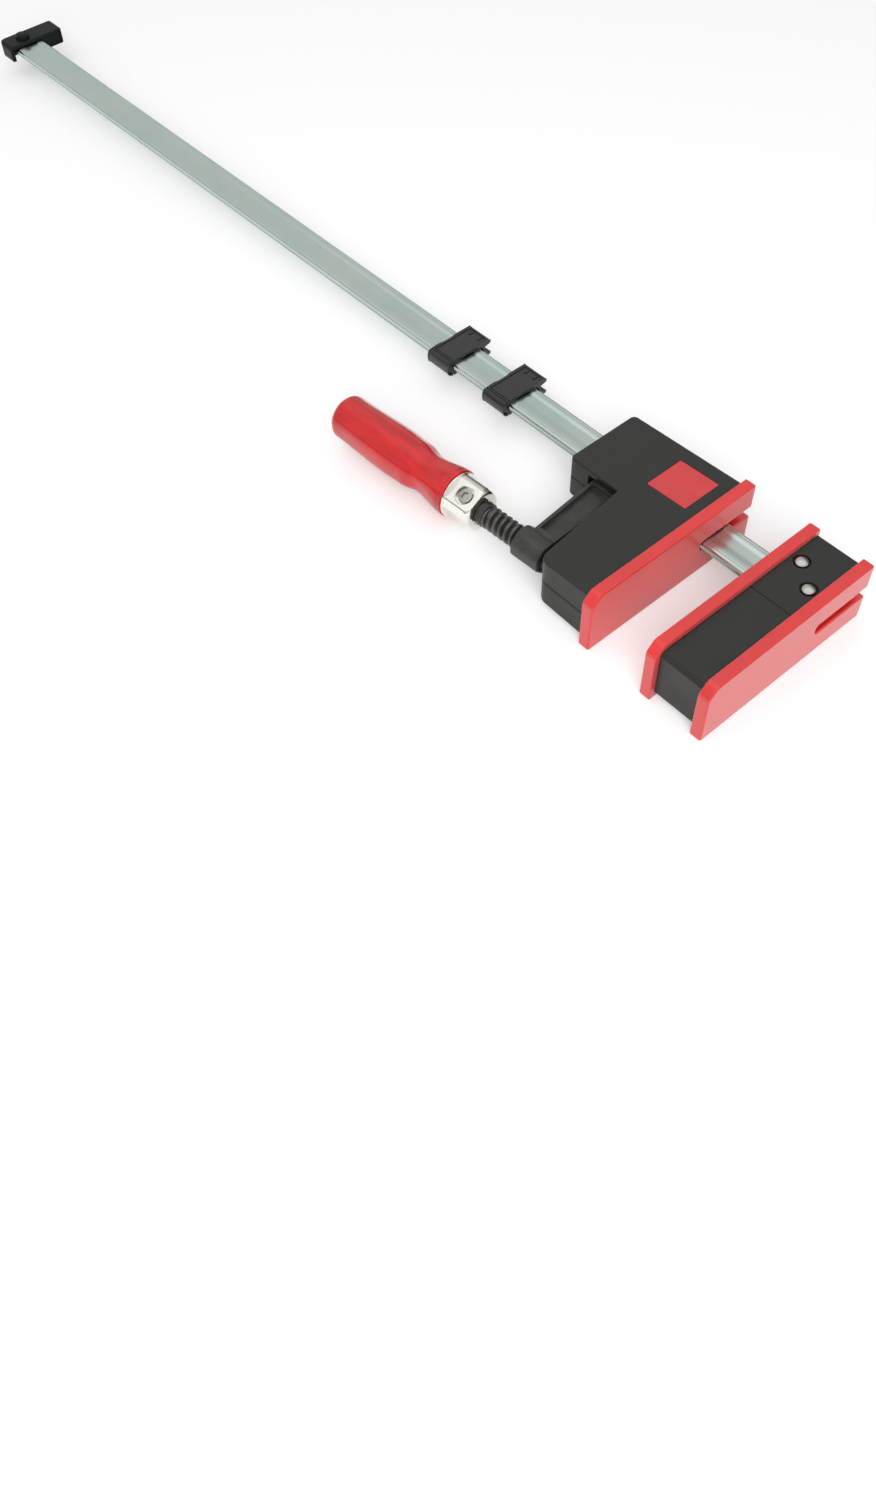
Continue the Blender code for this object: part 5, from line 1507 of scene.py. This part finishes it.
class CLAMP_OT_end_cap(bpy.types.Operator):
    """Build the cap on the bar's tail and its button"""

    bl_idname = "clamp.end_cap"
    bl_label = "End cap"

    def execute(self, context):
        colour = context.scene.clamp_colours.cap_black
        black = moulded_plastic("cap_plastic", colour, specular=0.1, roughness=0.3)
        piece = end_cap(context.scene.clamp_sizes)
        fit(piece, "moulded_end_cap", TO_SHOP, black, "rail", "end_cap")
        fit(cap_pin(), "cap_button", TO_SHOP, black, "rail", "end_cap_pin")
        return {"FINISHED"}


class CLAMP_OT_clips(bpy.types.Operator):
    """Build the two support clips on the bar"""

    bl_idname = "clamp.clips"
    bl_label = "Support clips"

    def execute(self, context):
        colour = tinted(context.scene.clamp_colours.housing_black, CLIP_TONE)
        black = moulded_plastic("clip_plastic", colour, specular=0.65, roughness=0.3)
        for end in ("front", "rear"):
            cad_node = "support_clip_" + end
            low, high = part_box(cad_node)
            place = Matrix.Translation(((low.x + high.x) / 2 + CLIP_SHIFTS[end], SHOP.y, SHOP.z))
            piece = support_clip(context.scene.clamp_sizes)
            fit(piece, cad_node + "_moulded", place, black, "clip_" + end, cad_node)
        return {"FINISHED"}


class CLAMP_OT_inner_pieces(bpy.types.Operator):
    """Give the carried-over pieces inside the jaws their finishes"""

    bl_idname = "clamp.inner_pieces"
    bl_label = "Inner pieces"

    def execute(self, context):
        colours = context.scene.clamp_colours
        cast = rough_steel("cast_core_steel", colours.cast_grey, roughness=0.55)
        hard = rough_steel("ground_steel", colours.hard_steel, roughness=0.25)
        dark = moulded_plastic("guide_plastic", tinted(colours.housing_black, GUIDE_TONE))
        groups = (
            (cast, ("fixed_jaw_core", "jaw_core")),
            (dark, ("front_bar_guide", "rear_bar_guide")),
            (hard, ("thrust_plate", "spindle_retainer", "pressure_cup")),
            (hard, ("bite_pin_front", "bite_pin_rear", "arm_drag_spring")),
        )
        for finish, cad_nodes in groups:
            for cad_node in cad_nodes:
                for place in frame["nodes"][cad_node].material_slots:
                    place.material = finish
        return {"FINISHED"}


class CLAMP_OT_stage(bpy.types.Operator):
    """Set up the floor, the soft light, the white background and the camera"""

    bl_idname = "clamp.stage"
    bl_label = "Stage"

    def execute(self, context):
        settings = context.scene.clamp_stage
        make_floor(settings)
        make_world(context.scene, settings)
        make_lamp("key_lamp", settings.lamp_power, KEY_PLACE, KEY_AIM, KEY_SIZE)
        make_lamp("fill_lamp", settings.fill_power, FILL_PLACE, FILL_AIM, FILL_SIZE)
        make_camera(context.scene)
        context.scene.view_settings.view_transform = "Standard"
        return {"FINISHED"}


def maths(tree, operation, first, second):
    """One arithmetic step on two values."""
    return node(tree, "ShaderNodeMath", {0: first, 1: second}, operation=operation).outputs[0]


def banded(tree, source, band, low, high):
    """Pass smoothly from a low to a high value while the source crosses a band."""
    inputs = {"Value": source, "From Min": band[0], "From Max": band[1], "To Min": low, "To Max": high}
    return node(tree, "ShaderNodeMapRange", inputs, interpolation_type="SMOOTHSTEP").outputs["Result"]


def seen(tree):
    """One where the camera, a reflection or a view through glass looks at the surface."""
    rays = node(tree, "ShaderNodeLightPath").outputs
    direct = maths(tree, "MAXIMUM", rays["Is Camera Ray"], rays["Is Glossy Ray"])
    return maths(tree, "MAXIMUM", direct, rays["Is Transmission Ray"])


def make_floor(settings):
    """A white floor that keeps the clamp's soft shadow."""
    half = settings.floor_size / 2
    bm = bmesh.new()
    corners = across("Z", rectangle((-half, -half), (half, half)), 0)
    bm.faces.new([bm.verts.new(corner) for corner in corners])
    floor = new_piece("floor", bm)
    material = bpy.data.materials.new("floor_white")
    material.use_nodes = True
    tree = material.node_tree
    tree.nodes.clear()
    diffuse = node(tree, "ShaderNodeBsdfDiffuse", {"Color": (*FLOOR_WHITE, 1)})
    strength = maths(tree, "MULTIPLY", seen(tree), settings.floor_fill)
    glow = node(tree, "ShaderNodeEmission", {"Color": (1, 1, 1, 1), "Strength": strength})
    both = node(tree, "ShaderNodeAddShader", {0: diffuse.outputs[0], 1: glow.outputs[0]})
    node(tree, "ShaderNodeOutputMaterial", {"Surface": both.outputs[0]})
    floor.data.materials.append(material)


def make_world(scene, settings):
    """Even light from all round: white to the camera, and graded in reflections."""
    world = bpy.data.worlds.new("studio")
    world.use_nodes = True
    tree = world.node_tree
    tree.nodes.clear()
    rays = node(tree, "ShaderNodeLightPath").outputs
    direction = node(tree, "ShaderNodeTexCoord").outputs["Generated"]
    parts = node(tree, "ShaderNodeSeparateXYZ", {"Vector": direction}).outputs
    horizon = banded(tree, parts["Z"], HORIZON_BAND, settings.rim_shine, settings.sky_shine)
    side = banded(tree, parts["Y"], SIDE_BAND, 1.0, SIDE_DIM)
    overhead = banded(tree, parts["Z"], OVERHEAD_BAND, 1.0, OVERHEAD_SHARE)
    shine = maths(tree, "MULTIPLY", maths(tree, "MULTIPLY", horizon, side), overhead)
    strength = spread(tree, rays["Is Glossy Ray"], settings.world_light, shine, 0, 1)
    direct = maths(tree, "MAXIMUM", rays["Is Camera Ray"], rays["Is Transmission Ray"])
    strength = spread(tree, direct, strength, 1.0, 0, 1)
    sky = node(tree, "ShaderNodeBackground", {"Color": (1, 1, 1, 1), "Strength": strength})
    node(tree, "ShaderNodeOutputWorld", {"Surface": sky.outputs[0]})
    scene.world = world


def make_lamp(name, power, place, aim, size):
    """A large soft lamp that isn't seen in reflections."""
    data = bpy.data.lights.new(name, "AREA")
    data.shape = "SQUARE"
    data.size = size
    data.energy = power
    lamp = bpy.data.objects.new(name, data)
    lamp.location = SHOP + Vector(place)
    lamp.rotation_euler = (Vector(aim) - Vector(place)).to_track_quat("-Z", "Y").to_euler()
    lamp.visible_glossy = False
    bpy.context.scene.collection.objects.link(lamp)


def make_camera(scene):
    """A camera at the photograph's place and angle."""
    data = bpy.data.cameras.new("camera")
    data.sensor_fit = "AUTO"
    data.sensor_width = SENSOR
    data.lens = CAMERA_LENS
    data.clip_start = 10 * MM
    camera = bpy.data.objects.new("camera", data)
    camera.location = SHOP + Vector(CAMERA_PLACE)
    camera.rotation_euler = Euler(CAMERA_TURN, "XYZ")
    scene.collection.objects.link(camera)
    scene.camera = camera


class CLAMP_PT_sidebar(bpy.types.Panel):
    """Steps that dress the clamp"""

    bl_idname = "CLAMP_PT_sidebar"
    bl_label = "Parallel clamp"
    bl_space_type = "VIEW_3D"
    bl_region_type = "UI"
    bl_category = "Clamp"

    def draw(self, context):
        column = self.layout.column()
        for operator in OPERATORS:
            column.operator(operator.bl_idname)


GROUPS = (ClampSizes, ClampColours, ClampStage)
OPERATORS = (
    CLAMP_OT_bar, CLAMP_OT_pads, CLAMP_OT_fixed_jaw, CLAMP_OT_housing, CLAMP_OT_label, CLAMP_OT_arm,
    CLAMP_OT_spindle, CLAMP_OT_handle, CLAMP_OT_end_cap, CLAMP_OT_clips, CLAMP_OT_inner_pieces,
    CLAMP_OT_stage,
)


def register():
    """Add the classes and the scene's settings."""
    for kind in (*GROUPS, *OPERATORS, CLAMP_PT_sidebar):
        bpy.utils.register_class(kind)
    bpy.types.Scene.clamp_sizes = bpy.props.PointerProperty(type=ClampSizes)
    bpy.types.Scene.clamp_colours = bpy.props.PointerProperty(type=ClampColours)
    bpy.types.Scene.clamp_stage = bpy.props.PointerProperty(type=ClampStage)


def unregister():
    """Take them away again."""
    del bpy.types.Scene.clamp_stage
    del bpy.types.Scene.clamp_colours
    del bpy.types.Scene.clamp_sizes
    for kind in (CLAMP_PT_sidebar, *reversed(OPERATORS), *reversed(GROUPS)):
        bpy.utils.unregister_class(kind)


def main():
    """Dress the clamp from the bar outwards, then set the stage."""
    register()
    bpy.ops.clamp.bar()
    bpy.ops.clamp.pads()
    bpy.ops.clamp.fixed_jaw()
    bpy.ops.clamp.housing()
    bpy.ops.clamp.label()
    bpy.ops.clamp.arm()
    bpy.ops.clamp.spindle()
    bpy.ops.clamp.handle()
    bpy.ops.clamp.end_cap()
    bpy.ops.clamp.clips()
    bpy.ops.clamp.inner_pieces()
    bpy.ops.clamp.stage()


if __name__ == "__main__":
    main()
